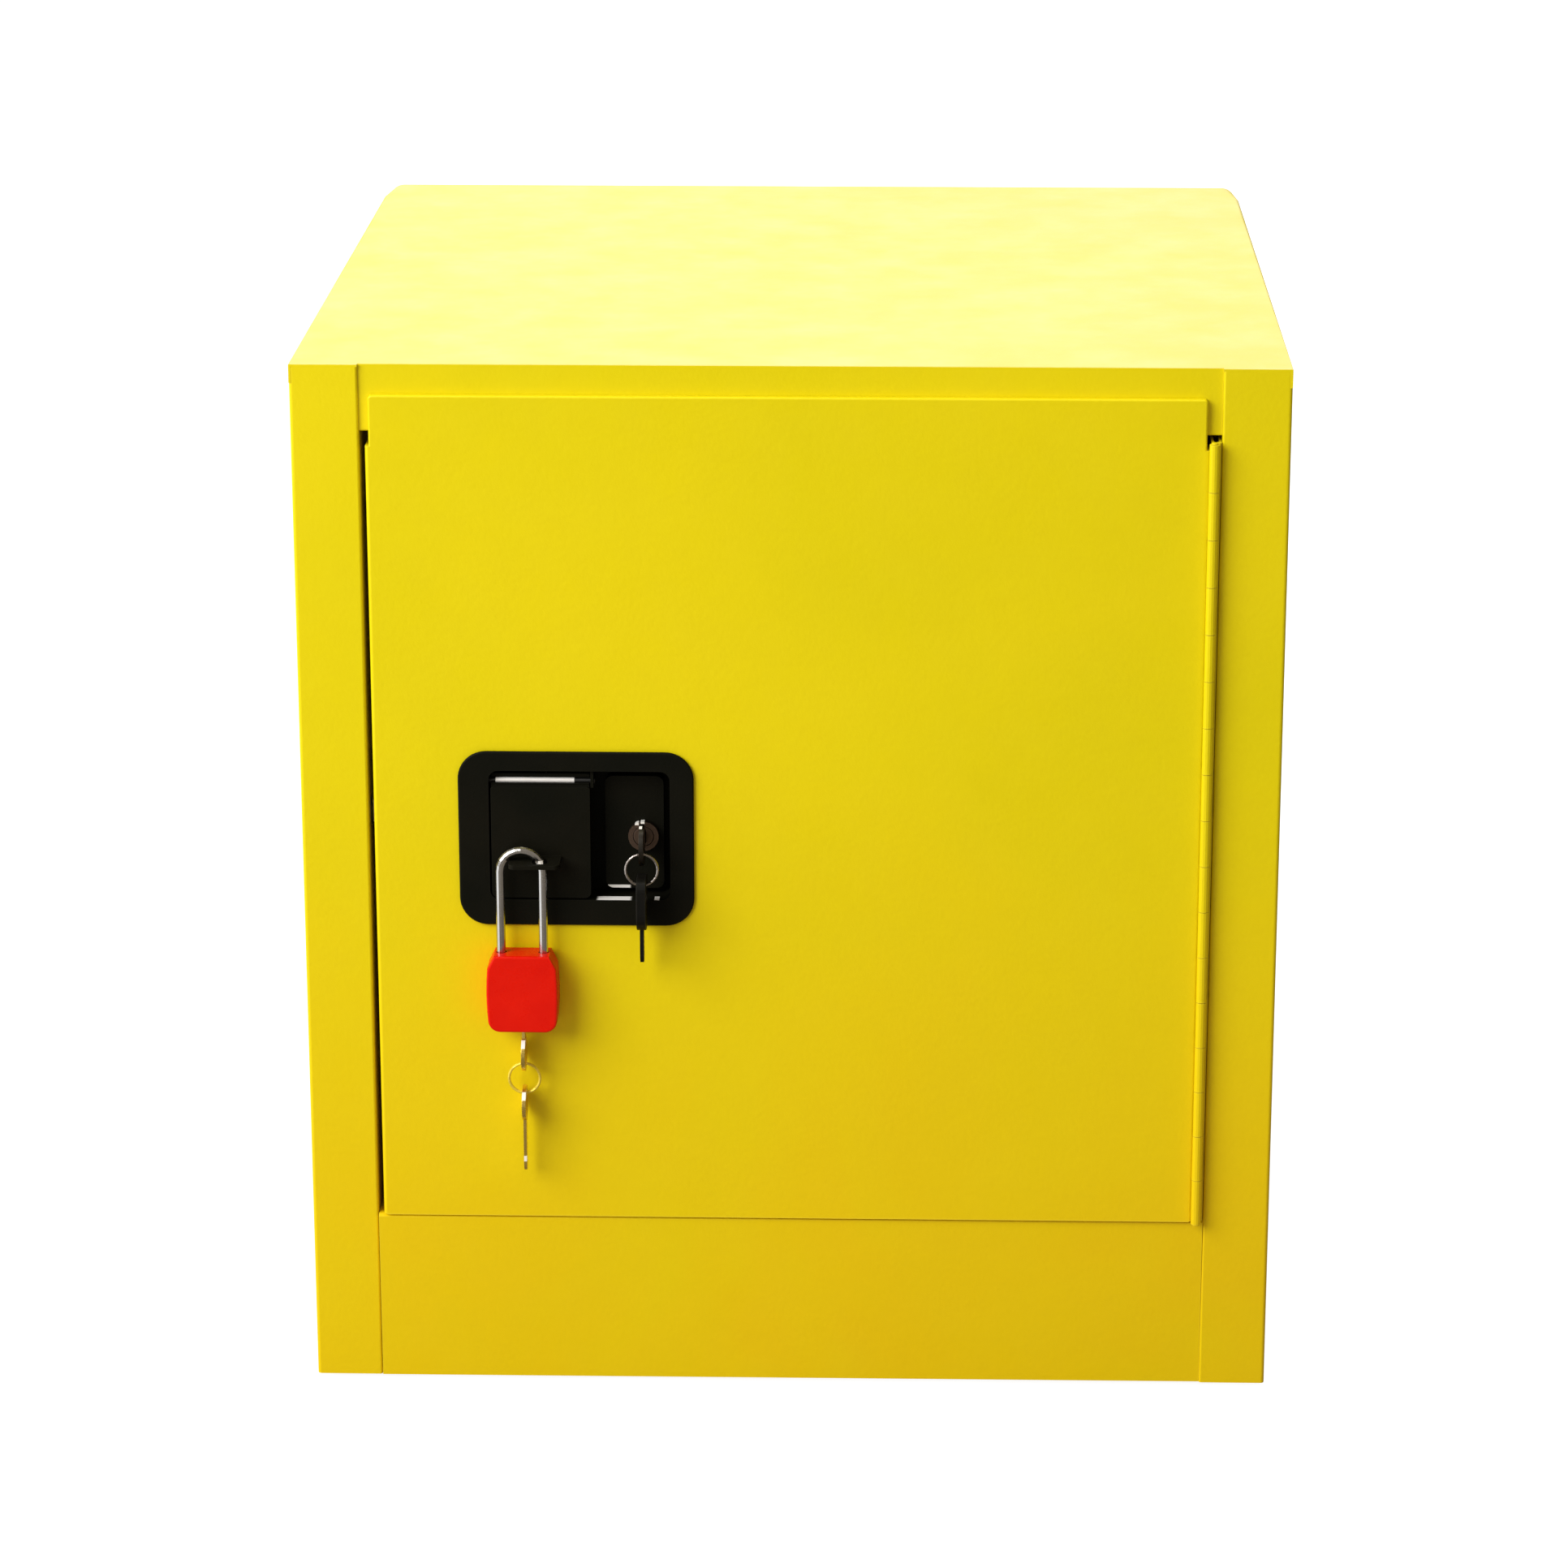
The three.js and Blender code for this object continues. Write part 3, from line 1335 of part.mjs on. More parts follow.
const carcase = new THREE.Group();
carcase.add(meshOf("outer_wrap", outerWrap(), yellowPaint));
carcase.add(meshOf("back_panel", backPanel(), yellowPaint));
carcase.add(meshOf("base_pan", basePan(), yellowPaint));
carcase.add(meshOf("header_rail", headerRail(), yellowPaint));
carcase.add(meshOf("sill_rail", sillRail(), yellowPaint));
carcase.add(meshOf("inner_liner", innerLiner(), yellowPaint));
carcase.add(meshOf("sump_tray", sumpTray(), yellowPaint));
carcase.add(meshOf("strike_plate", strikePlate(), zincSteel));
carcase.add(meshOf("earth_stud", earthStud(), brassMetal));
carcase.add(meshOf("hinge_frame_leaf", frameLeaf(), yellowPaint));
carcase.add(meshOf("hinge_pin", hingePin(), zincSteel));
standardPlaces.forEach(([side, y, place]) => {
  carcase.add(meshOf(`shelf_standard_${place}`, shelfStandard(side, y), zincSteel));
  carcase.add(meshOf(`shelf_clip_${place}`, shelfClip(side, y), zincSteel));
});
ventPlaces.forEach((place, i) => {
  const name = i === 0 ? "high" : "low";
  carcase.add(meshOf(`vent_body_${name}`, ventBody(place), zincSteel));
  carcase.add(meshOf(`vent_cap_${name}`, ventCap(place), blackPlastic));
});
footPlaces.forEach((place, i) => carcase.add(meshOf(`foot_${i + 1}`, foot(place), blackRubber)));
cabinet.add(carcase);

const shelf = new THREE.Group();
shelf.add(meshOf("shelf", shelfPan(), zincSteel));
cabinet.add(shelf);

const door = new THREE.Group();
door.add(meshOf("door_outer_skin", doorOuterSkin(), yellowPaint));
door.add(meshOf("door_inner_skin", doorInnerSkin(), yellowPaint));
door.add(meshOf("hinge_door_leaf", doorLeaf(), yellowPaint));
door.add(meshOf("lock_housing", lockHousing(), blackPaint));
door.add(meshOf("paddle_pin", paddlePin(), chromed));
door.add(meshOf("crank_pin", crankPin(), zincSteel));
door.add(meshOf("bolt_case", boltCase(), zincSteel));
door.add(meshOf("bolt_spring", boltSpring(), zincSteel));
door.add(meshOf("lock_cylinder", lockCylinder(), chromed));
door.add(meshOf("lock_nut", lockNut(), zincSteel));
cabinet.add(door);

const latch = new THREE.Group();
latch.add(meshOf("paddle", liftPaddle(), blackPaint));
latch.add(meshOf("bell_crank", bellCrank(), zincSteel));
latch.add(meshOf("latch_bolt", latchBolt(), zincSteel));
door.add(latch);

const doorLock = new THREE.Group();
doorLock.add(meshOf("lock_plug", lockPlug(), chromed));
doorLock.add(meshOf("lock_cam", lockCam(), zincSteel));
doorLock.add(meshOf("door_key", doorKey(), keySteel));
doorLock.add(meshOf("door_key_ring", keyRing(lockX, lockHoleY, doorRingZ, ringRadius), chromed));
const doorSpare = plasticHeadKey().translate([lockX, lockHoleY, doorSpareZ]);
doorLock.add(meshOf("door_spare_key", doorSpare, blackPlastic));
door.add(doorLock);

const padlock = new THREE.Group();
padlock.add(meshOf("padlock_shackle", padlockShackle(), chromed));
padlock.add(meshOf("padlock_body", padlockBody(), redEnamel));
padlock.add(meshOf("padlock_plug", padlockPlug(), brassMetal));
padlock.add(meshOf("padlock_key", padlockKey(), keySteel));
padlock.add(meshOf("padlock_key_ring", keyRing(padlockX, padlockY, padRingZ, padRingRadius), chromed));
padlock.add(meshOf("padlock_spare_key", bareKey().translate([padlockX, padlockY, padSpareZ]), keySteel));
door.add(padlock);

// The origin moves to the floor below the middle of everything
const reach = new THREE.Box3().setFromObject(cabinet);
cabinet.position.y = -(reach.min.y + reach.max.y) / 2;

export default cabinet;
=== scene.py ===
import json
import math

import bmesh
import bpy
from mathutils import Matrix, Vector


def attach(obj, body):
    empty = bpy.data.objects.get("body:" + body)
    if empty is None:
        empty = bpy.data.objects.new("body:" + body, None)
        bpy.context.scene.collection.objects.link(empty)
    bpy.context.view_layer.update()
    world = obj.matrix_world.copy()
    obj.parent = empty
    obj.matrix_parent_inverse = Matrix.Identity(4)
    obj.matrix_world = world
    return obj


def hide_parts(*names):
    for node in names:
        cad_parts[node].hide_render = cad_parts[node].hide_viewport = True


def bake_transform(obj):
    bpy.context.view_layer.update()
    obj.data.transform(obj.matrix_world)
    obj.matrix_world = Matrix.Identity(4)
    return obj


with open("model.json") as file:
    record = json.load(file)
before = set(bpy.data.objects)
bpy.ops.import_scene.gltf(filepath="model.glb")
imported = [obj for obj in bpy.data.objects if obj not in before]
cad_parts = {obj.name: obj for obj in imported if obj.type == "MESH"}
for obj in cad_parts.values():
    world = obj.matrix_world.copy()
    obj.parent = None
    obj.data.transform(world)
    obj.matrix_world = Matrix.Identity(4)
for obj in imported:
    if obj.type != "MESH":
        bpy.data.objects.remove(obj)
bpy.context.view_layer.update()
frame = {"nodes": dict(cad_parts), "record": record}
nodes = frame["nodes"]
body_of = {n: b for b, members in frame["record"]["behaviour"]["bodies"].items() for n in members}
slot_of = {s["node"]: s["material_slot"] for s in frame["record"]["subparts"]}


def new_object(name, data):
    thing = bpy.data.objects.new(name, data)
    bpy.context.scene.collection.objects.link(thing)
    return thing


# Camera: fitted to the corners of the box in the photograph
RIGHT = Vector((0.999616, 0.027704, -0.000690))
UP = Vector((-0.007455, 0.292825, 0.956137))
BACK = RIGHT.cross(UP).normalized()
EYE = Vector((0.067050, -2.751030, 1.106350))
LENS_MM = 115.746
SENSOR_MM = 36.0
SIGHT = 60.0  # metres

camera_data = bpy.data.cameras.new("photo_view")
camera_data.sensor_width = SENSOR_MM
camera_data.lens = LENS_MM
camera_data.clip_end = SIGHT
camera = new_object("photo_view", camera_data)
camera.matrix_world = Matrix((
    (RIGHT.x, UP.x, BACK.x, EYE.x),
    (RIGHT.y, UP.y, BACK.y, EYE.y),
    (RIGHT.z, UP.z, BACK.z, EYE.z),
    (0.0, 0.0, 0.0, 1.0),
))
bpy.context.scene.camera = camera
bpy.context.scene.view_settings.view_transform = "Standard"


# Materials
class Graph:
    """A node tree with helpers that add nodes. What goes into one is an output of another, or a constant."""

    def __init__(self, tree):
        self.tree = tree

    def node(self, kind, **settings):
        made = self.tree.nodes.new(kind)
        for key, value in settings.items():
            setattr(made, key, value)
        return made

    def feed(self, socket, value):
        if isinstance(value, bpy.types.NodeSocket):
            self.tree.links.new(value, socket)
        else:
            socket.default_value = value

    def ramp(self, source, low, high, low_value=0.0, high_value=1.0):
        """Spreads the source from low ... high to low_value ... high_value and stops at both."""
        made = self.node("ShaderNodeMapRange", clamp=True)
        for name, value in (
            ("Value", source), ("From Min", low), ("From Max", high),
            ("To Min", low_value), ("To Max", high_value),
        ):
            self.feed(made.inputs[name], value)
        return made.outputs["Result"]

    def math(self, operation, *values):
        made = self.node("ShaderNodeMath", operation=operation)
        for socket, value in zip(made.inputs, values):
            self.feed(socket, value)
        return made.outputs["Value"]

    def vector(self, operation, *values):
        made = self.node("ShaderNodeVectorMath", operation=operation)
        for socket, value in zip(made.inputs, values):
            self.feed(socket, value)
        return made.outputs

    def axes(self, source):
        made = self.node("ShaderNodeSeparateXYZ")
        self.feed(made.inputs["Vector"], source)
        return made.outputs

    def mix(self, factor, a, b):
        made = self.node("ShaderNodeMix", data_type="RGBA")
        sockets = {s.identifier: s for s in made.inputs}
        for name, value in (("Factor_Float", factor), ("A_Color", a), ("B_Color", b)):
            self.feed(sockets[name], (*value, 1.0) if isinstance(value, tuple) else value)
        return {s.identifier: s for s in made.outputs}["Result_Color"]


EDGE_WEAR_AND_HIGHLIGHT_WIDTH = 0.0009  # metres from an edge in which the coat is lighter, as wear and, on the yellow coat, as a painted highlight
EDGE_WEAR_AND_HIGHLIGHT_TURN = (0.010, 0.10)  # 1 - cosine of the averaged normal's turn where the edge wear and painted highlight start and where they are full
BEVEL_SAMPLES = 6


class Paint(Graph):
    """A material made of a Principled shader and the nodes that feed it."""

    def __init__(self, name, roughness, metallic=0.0, specular=0.5):
        self.material = bpy.data.materials.new(name)
        self.material.use_nodes = True
        super().__init__(self.material.node_tree)
        self.inputs = self.tree.nodes["Principled BSDF"].inputs
        self.inputs["Roughness"].default_value = roughness
        self.inputs["Metallic"].default_value = metallic
        self.inputs["Specular IOR Level"].default_value = specular
        self.place = self.node("ShaderNodeTexCoord").outputs["Object"]

    def color(self, source):
        self.feed(self.inputs["Base Color"], source)

    def metallic(self, source):
        self.feed(self.inputs["Metallic"], source)

    def roughness(self, source):
        self.feed(self.inputs["Roughness"], source)

    def bump(self, *layers):
        """Layers are (height source, depth in metres), the coarsest first."""
        normal = None
        for source, depth in layers:
            made = self.node("ShaderNodeBump")
            made.inputs["Strength"].default_value = 1.0
            made.inputs["Distance"].default_value = depth
            self.feed(made.inputs["Height"], source)
            if normal:
                self.feed(made.inputs["Normal"], normal)
            normal = made.outputs["Normal"]
        self.feed(self.inputs["Normal"], normal)

    def noise(self, scale, detail, rough, distortion=0.0, squeeze=None):
        """Noise whose coarsest spots are about 1 / scale metres wide, or finer along the axes of squeeze."""
        made = self.node("ShaderNodeTexNoise")
        for name, value in (
            ("Scale", scale), ("Detail", detail), ("Roughness", rough), ("Distortion", distortion),
        ):
            self.feed(made.inputs[name], value)
        place = self.place
        if squeeze:
            mapping = self.node("ShaderNodeMapping")
            self.feed(mapping.inputs["Scale"], squeeze)
            self.feed(mapping.inputs["Vector"], place)
            place = mapping.outputs["Vector"]
        self.feed(made.inputs["Vector"], place)
        return made.outputs["Fac"]

    def spots(self, noise, band=(0.3, 0.7), values=(0.0, 1.0)):
        """Noise with the given settings, of which the band is spread over the two values."""
        return self.ramp(self.noise(*noise), *band, *values)

    def patch(self, center, half, soft=0.15):
        """1 inside a small box around a place, 0 outside it, with a short ramp between."""
        away = self.vector("SUBTRACT", self.place, center)["Vector"]
        share = self.vector("DIVIDE", away, half)["Vector"]
        axes = self.axes(self.vector("ABSOLUTE", share)["Vector"])
        widest = self.math("MAXIMUM", self.math("MAXIMUM", axes["X"], axes["Y"]), axes["Z"])
        return self.ramp(widest, 1.0 - soft, 1.0, 1.0, 0.0)

    def patches(self, *boxes):
        """1 inside any of the small boxes."""
        inside = self.patch(*boxes[0])
        for box in boxes[1:]:
            inside = self.math("MAXIMUM", inside, self.patch(*box))
        return inside

    def edges(self, share):
        """The share along edges, 0 on flats: how far the normal turns when it is averaged over a width."""
        soft = self.node("ShaderNodeBevel", samples=BEVEL_SAMPLES)
        soft.inputs["Radius"].default_value = EDGE_WEAR_AND_HIGHLIGHT_WIDTH
        plain = self.node("ShaderNodeNewGeometry").outputs["Normal"]
        turn = self.vector("DOT_PRODUCT", soft.outputs["Normal"], plain)["Value"]
        return self.math("MULTIPLY", self.ramp(self.math("SUBTRACT", 1.0, turn), *EDGE_WEAR_AND_HIGHLIGHT_TURN), share)


def linear(r, g, b):
    """A display colour, 0 to 255 in each channel, as the linear values that a shader takes."""
    def channel(v):
        v = v / 255.0
        return v / 12.92 if v <= 0.04045 else ((v + 0.055) / 1.055) ** 2.4
    return channel(r), channel(g), channel(b)


# Heights in metres on the cabinet, and the z of a normal, between which the yellow coat changes: painted
# shade low down, and a dusty roof with a painted highlight
LOW_SHADE_FROM, LOW_SHADE_FULL = 0.36, 0.02
ROOF_FROM, ROOF_FULL = 0.5545, 0.5575
UPWARD_FROM, UPWARD_FULL = 0.90, 0.99


def yellow_coat():
    """Yellow with faint clouds, warmer and darker low down as painted shade, lighter along edges as a painted
    highlight, and paler on the roof, dusty and with a painted highlight.
    """
    paint = Paint("yellow_powder_coat", 0.42, specular=0.20)
    height = paint.axes(paint.place)["Z"]
    clouds = paint.spots((5.0, 3.0, 0.55, 0.6), (0.32, 0.70))
    low_part = paint.ramp(height, LOW_SHADE_FROM, LOW_SHADE_FULL)
    # Painted shade: warmer and darker towards the bottom of the cabinet.
    warm = paint.math("MULTIPLY", low_part, paint.ramp(clouds, 0.0, 1.0, 0.45, 1.0))
    base = paint.mix(clouds, linear(230, 214, 4), linear(236, 217, 6))
    tinted = paint.mix(warm, base, linear(236, 198, 6))
    grained = paint.mix(paint.spots((90.0, 4.0, 0.6), values=(0.0, 0.05)), tinted, linear(205, 172, 14))
    # Painted highlight: edges paler yellow, as where bends catch the light.
    wear_and_painted_highlight = paint.mix(paint.edges(0.35), grained, linear(246, 228, 70))
    facing = paint.axes(paint.node("ShaderNodeNewGeometry").outputs["True Normal"])
    upward = paint.ramp(facing["Z"], UPWARD_FROM, UPWARD_FULL)
    roof = paint.math("MULTIPLY", upward, paint.ramp(height, ROOF_FROM, ROOF_FULL))
    # Roof: upward faces paler and cream, partly dusty and partly a painted highlight.
    roof_dust_and_highlight = paint.math("MULTIPLY", roof, paint.spots((11.0, 5.0, 0.62, 0.8), (0.25, 0.75), (0.14, 0.20)))
    paint.color(paint.mix(roof_dust_and_highlight, wear_and_painted_highlight, (0.92, 0.89, 0.78)))
    paint.roughness(paint.spots((28.0, 4.0, 0.6), values=(0.36, 0.50)))
    paint.bump(
        (paint.noise(3.2, 2.0, 0.5, 0.4), 0.0030),
        (paint.noise(420.0, 2.0, 0.45), 0.00010),
        (paint.noise(1300.0, 1.0, 0.5), 0.00002),
    )
    return paint.material


# Painted highlights: small boxes painted near white, where glints and lit edges show, given by the middle and
# half the size of each
PAINTED_HIGHLIGHTS_LATCH = (
    ((-0.0903, -0.2390, 0.2797), (0.0070, 0.0006, 0.0009)),
    ((-0.0918, -0.2477, 0.2758), (0.0094, 0.0034, 0.0005)),
    ((-0.0694, -0.2475, 0.2758), (0.0014, 0.0034, 0.0005)),
)
PAINTED_HIGHLIGHTS_LOCK = (
    ((-0.0799, -0.2422, 0.3156), (0.0011, 0.0030, 0.0010)),
    ((-0.0769, -0.2419, 0.3162), (0.0011, 0.0030, 0.0008)),
)
PAINTED_HIGHLIGHT_KEY = (((-0.0772, -0.2611, 0.3187), (0.0012, 0.0014, 0.0010)),)
PAINTED_HIGHLIGHTS_PADLOCK_KEYS = (
    ((-0.1397, -0.2680, 0.2003), (0.0016, 0.0100, 0.0019)),
    ((-0.1392, -0.2680, 0.1716), (0.0016, 0.0100, 0.0019)),
    ((-0.1384, -0.2680, 0.1350), (0.0020, 0.0100, 0.0017)),
)
PAINTED_HIGHLIGHT_SHACKLE = (((-0.1292, -0.2613, 0.2992), (0.0014, 0.0020, 0.0013)),)
PAINTED_HIGHLIGHT_PIN = ((-0.1325, -0.2480, 0.3403), (0.0207, 0.0100, 0.0100))
PAINTED_HIGHLIGHT_COLOR = (0.95, 0.93, 0.88)


def black_coat():
    paint = Paint("black_powder_coat", 0.42, specular=0.05)
    tone = paint.mix(
        paint.spots((26.0, 3.0, 0.5, 0.3), (0.35, 0.65)), (0.0052, 0.0055, 0.0034), (0.0076, 0.0070, 0.0042),
    )
    soft = paint.mix(paint.edges(0.3), tone, (0.014, 0.013, 0.010))
    # Painted highlights: near white boxes on the lower lips of the latch pocket.
    paint.color(paint.mix(paint.patches(*PAINTED_HIGHLIGHTS_LATCH), soft, PAINTED_HIGHLIGHT_COLOR))
    paint.roughness(paint.spots((60.0, 3.0, 0.6), values=(0.34, 0.52)))
    paint.bump((paint.noise(650.0, 2.0, 0.5), 0.00006), (paint.noise(1800.0, 1.0, 0.5), 0.00002))
    return paint.material


def metal(name, color, dark, roughness, squeeze=(1.0, 1.0, 30.0), painted_highlights=(), metallic=1.0):
    """Blotched metal with fine scratches, which run across the axis along which they are squeezed."""
    paint = Paint(name, roughness, metallic=metallic)
    blotch = paint.spots((45.0, 4.0, 0.6, 0.5), (0.3, 0.75), (0.0, 0.25))
    lines = paint.spots((160.0, 3.0, 0.7, 0.0, squeeze), (0.45, 0.75))
    tone = paint.mix(paint.math("MULTIPLY", lines, 0.15), paint.mix(blotch, color, dark), dark)
    # Painted highlights: small boxes painted near white and non-metal.
    if painted_highlights:
        painted_highlight_mask = paint.patches(*painted_highlights)
        tone = paint.mix(painted_highlight_mask, tone, PAINTED_HIGHLIGHT_COLOR)
        paint.metallic(paint.math("SUBTRACT", 1.0, painted_highlight_mask))
    paint.color(tone)
    paint.roughness(paint.ramp(lines, 0.0, 1.0, roughness, roughness + 0.15))
    paint.bump((lines, 0.00001), (paint.noise(700.0, 2.0, 0.5), 0.000006))
    return paint.material


def zinc():
    paint = Paint("zinc_steel", 0.34, metallic=1.0)
    cells = paint.node("ShaderNodeTexVoronoi")
    cells.inputs["Scale"].default_value = 70.0
    paint.feed(cells.inputs["Vector"], paint.place)
    spangle = paint.ramp(cells.outputs["Distance"], 0.0, 0.8)
    clouds = paint.spots((14.0, 4.0, 0.6))
    tone = paint.mix(spangle, (0.52, 0.53, 0.55), (0.66, 0.67, 0.68))
    paint.color(paint.mix(paint.math("MULTIPLY", clouds, 0.35), tone, (0.47, 0.46, 0.42)))
    paint.roughness(paint.ramp(clouds, 0.0, 1.0, 0.28, 0.42))
    paint.bump((spangle, 0.00001), (paint.noise(900.0, 2.0, 0.5), 0.00001))
    return paint.material


def plastic(name, color, light, wear_and_painted_highlight, roughness, grain):
    paint = Paint(name, roughness, specular=0.12)
    tone = paint.mix(paint.spots((50.0, 3.0, 0.5)), color, light)
    paint.color(paint.mix(paint.edges(0.5), tone, wear_and_painted_highlight))
    paint.roughness(paint.spots((120.0, 3.0, 0.6), values=(roughness - 0.07, roughness + 0.08)))
    paint.bump((paint.noise(grain, 2.0, 0.5), 0.00004))
    return paint.material


def enamel():
    paint = Paint("red_enamel", 0.30, specular=0.16)
    tone = paint.mix(paint.spots((60.0, 3.0, 0.5)), linear(221, 17, 2), linear(229, 23, 4))
    chips = paint.spots((260.0, 4.0, 0.7), (0.62, 0.70), (0.2, 0.7))
    paint.color(paint.mix(paint.edges(chips), tone, linear(246, 98, 70)))
    paint.roughness(paint.spots((140.0, 3.0, 0.6), values=(0.24, 0.36)))
    paint.bump((paint.noise(380.0, 2.0, 0.4), 0.00003))
    return paint.material


def pin_steel():
    """Near-white, barely metallic steel along the middle of the pin, a painted highlight where the paddle
    swings on it, and near black on its ends.
    """
    paint = Paint("pin_steel", 0.45)
    painted_highlight_band = paint.patch(*PAINTED_HIGHLIGHT_PIN, soft=0.02)
    grain = paint.spots((220.0, 3.0, 0.6, 0.0, (1.0, 12.0, 12.0)), (0.35, 0.65))
    steel = paint.mix(grain, (0.92, 0.90, 0.86), (1.00, 0.98, 0.95))
    # Painted highlight: near white band in the middle of the pin, near black outside it.
    paint.color(paint.mix(painted_highlight_band, (0.004, 0.004, 0.003), steel))
    paint.metallic(paint.ramp(painted_highlight_band, 0.0, 1.0, 0.0, 0.20))
    paint.roughness(paint.ramp(grain, 0.0, 1.0, 0.36, 0.48))
    paint.bump((grain, 0.00001))
    return paint.material


LOOKS = {
    "yellow_powder_coat": yellow_coat(),
    "black_powder_coat": black_coat(),
    "zinc_steel": zinc(),
    # The chrome carries a painted highlight on the shackle.
    "chrome": metal("chrome", (0.56, 0.555, 0.545), (0.26, 0.25, 0.24), 0.16, painted_highlights=PAINTED_HIGHLIGHT_SHACKLE),
    "black_plastic": plastic(
        "black_plastic", (0.0030, 0.0030, 0.0024), (0.0060, 0.0058, 0.0046), (0.0280, 0.0274, 0.0238),
        0.42, 900.0,
    ),
    "red_enamel": enamel(),
    "brass": metal("brass", (0.72, 0.50, 0.18), (0.38, 0.24, 0.08), 0.28),
    "rubber": plastic(
        "rubber", (0.014, 0.014, 0.014), (0.026, 0.025, 0.024), (0.088, 0.085, 0.082), 0.78, 500.0,
    ),
}

# Looks of single nodes, which go before the look of their slot
# The padlock keys carry painted highlights on their heads and tip.
KEY_BRASS = metal(
    "key_brass", (0.92, 0.68, 0.17), (0.48, 0.33, 0.07), 0.26, squeeze=(1.0, 30.0, 1.0), painted_highlights=PAINTED_HIGHLIGHTS_PADLOCK_KEYS,
)
# Painted reflection: the lock's chrome face is painted dark brown for the dark surroundings it reflects, with
# painted highlights.
LOCK_DARK_REFLECTION = metal("lock_dark_reflection", (0.17, 0.118, 0.088), (0.075, 0.055, 0.042), 0.30, painted_highlights=PAINTED_HIGHLIGHTS_LOCK)
SINGLE_LOOKS = {
    "hinge_pin": LOOKS["yellow_powder_coat"],
    "lock_cylinder": LOCK_DARK_REFLECTION,
    "lock_plug": LOCK_DARK_REFLECTION,
    # The door key carries a painted highlight.
    "door_key": metal("dark_key", (0.050, 0.045, 0.038), (0.022, 0.019, 0.016), 0.35, painted_highlights=PAINTED_HIGHLIGHT_KEY),
    "paddle_pin": pin_steel(),
    "padlock_key": KEY_BRASS,
    "padlock_spare_key": KEY_BRASS,
    # Painted reflection: the padlock's key ring is painted yellow for the yellow door it reflects.
    "padlock_key_ring": metal("ring_yellow_reflection", (0.88, 0.68, 0.07), (0.70, 0.50, 0.05), 0.20, metallic=0.35),
    "door_key_ring": metal("ring_steel", (0.42, 0.38, 0.35), (0.22, 0.20, 0.18), 0.20),
}


def piece(name, mesh, slot, look=None):
    thing = new_object(name, mesh)
    mesh.materials.clear()
    mesh.materials.append(look or LOOKS[slot])
    return thing


# Rounded pieces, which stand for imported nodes. Lengths are in metres
HARD_TURN = math.radians(38.0)  # an edge is rounded where its faces turn by more than this
FLAT_TURN = math.radians(0.6)  # faces are merged where they turn by less than this
SAME_DIRECTION = 0.9999  # cosine of the turn between two normals that count as one
MUCH_LARGER = 12.0  # ratio of areas
ORDER = Vector((1.0, 2.618034, 7.389056))  # direction along which points and faces are put in order
SAME_PLACE = 2e-6  # points nearer than this are one
SAME_PLANE = 2e-5  # and points within this lie in one plane

EDGE_STEPS = 2  # facets across a rounded edge
DOOR_STEPS = 4
DOOR_TURN = 0.00115  # radius of the bend round the door's front sheet
DOOR_FOLD = 1.0  # radians: the front sheet is bent back by more than this round its outline
DOOR_DROP = 0.00045  # how much lower the scene's door ends
LATCH_X, LATCH_Z = (-0.17, -0.045), (0.25, 0.37)  # a box round the opening for the latch

# Ends of a rail, -1 left and 1 right, that are moved out to the strip beside them, and how far back they go
SEAMS = {"header_rail": ((-1, 1), 0.0), "sill_rail": ((1,), 0.0016)}
SEAM_GAP = 0.00027  # how far out they go
SILL_LEAN = 0.0010  # how far the sill's upper edge comes out

# Radius of the rounded edges
SHEET_EDGE = 0.00035
FINE_EDGE = 0.00025
ROUNDED = {
    "outer_wrap": 0.0005, "header_rail": SHEET_EDGE, "sill_rail": SHEET_EDGE,
    "door_outer_skin": 0.0005, "door_inner_skin": SHEET_EDGE,
    "lock_housing": 0.0003, "paddle": 0.0004, "shelf": SHEET_EDGE,
    "padlock_body": 0.0004, "latch_bolt": 0.0003, "bell_crank": FINE_EDGE, "strike_plate": FINE_EDGE,
    "door_key": FINE_EDGE, "padlock_key": FINE_EDGE, "padlock_spare_key": FINE_EDGE,
    "hinge_pin": FINE_EDGE, "paddle_pin": FINE_EDGE, "lock_cylinder": 0.0006, "lock_plug": FINE_EDGE,
    "vent_cap_high": 0.0004, "vent_cap_low": 0.0004, "vent_body_high": FINE_EDGE, "vent_body_low": FINE_EDGE,
    "earth_stud": FINE_EDGE, "back_panel": FINE_EDGE,
}


def settle_normals(mesh):
    """Smooth shading in which a large flat face keeps its own normal beside narrow bends."""
    limit = math.cos(HARD_TURN)
    around = {}
    for polygon in mesh.polygons:
        polygon.use_smooth = True
        for vertex in polygon.vertices:
            around.setdefault(vertex, []).append(polygon.index)
    normals = [p.normal.copy() for p in mesh.polygons]
    areas = [p.area for p in mesh.polygons]
    corners = [None] * len(mesh.loops)
    for polygon in mesh.polygons:
        own = normals[polygon.index]
        for loop in polygon.loop_indices:
            near = [i for i in around[mesh.loops[loop].vertex_index] if normals[i].dot(own) > limit]
            widest = max(near, key=lambda i: areas[i])
            beside_flat = areas[widest] > MUCH_LARGER * areas[polygon.index]
            flat = widest == polygon.index and all(
                areas[i] < areas[widest] / MUCH_LARGER or normals[i].dot(own) > SAME_DIRECTION
                for i in near if i != widest
            )
            if flat or beside_flat:
                corners[loop] = normals[widest]
            else:
                corners[loop] = sum((normals[i] * areas[i] for i in near), Vector()).normalized()
    mesh.normals_split_custom_set(corners)


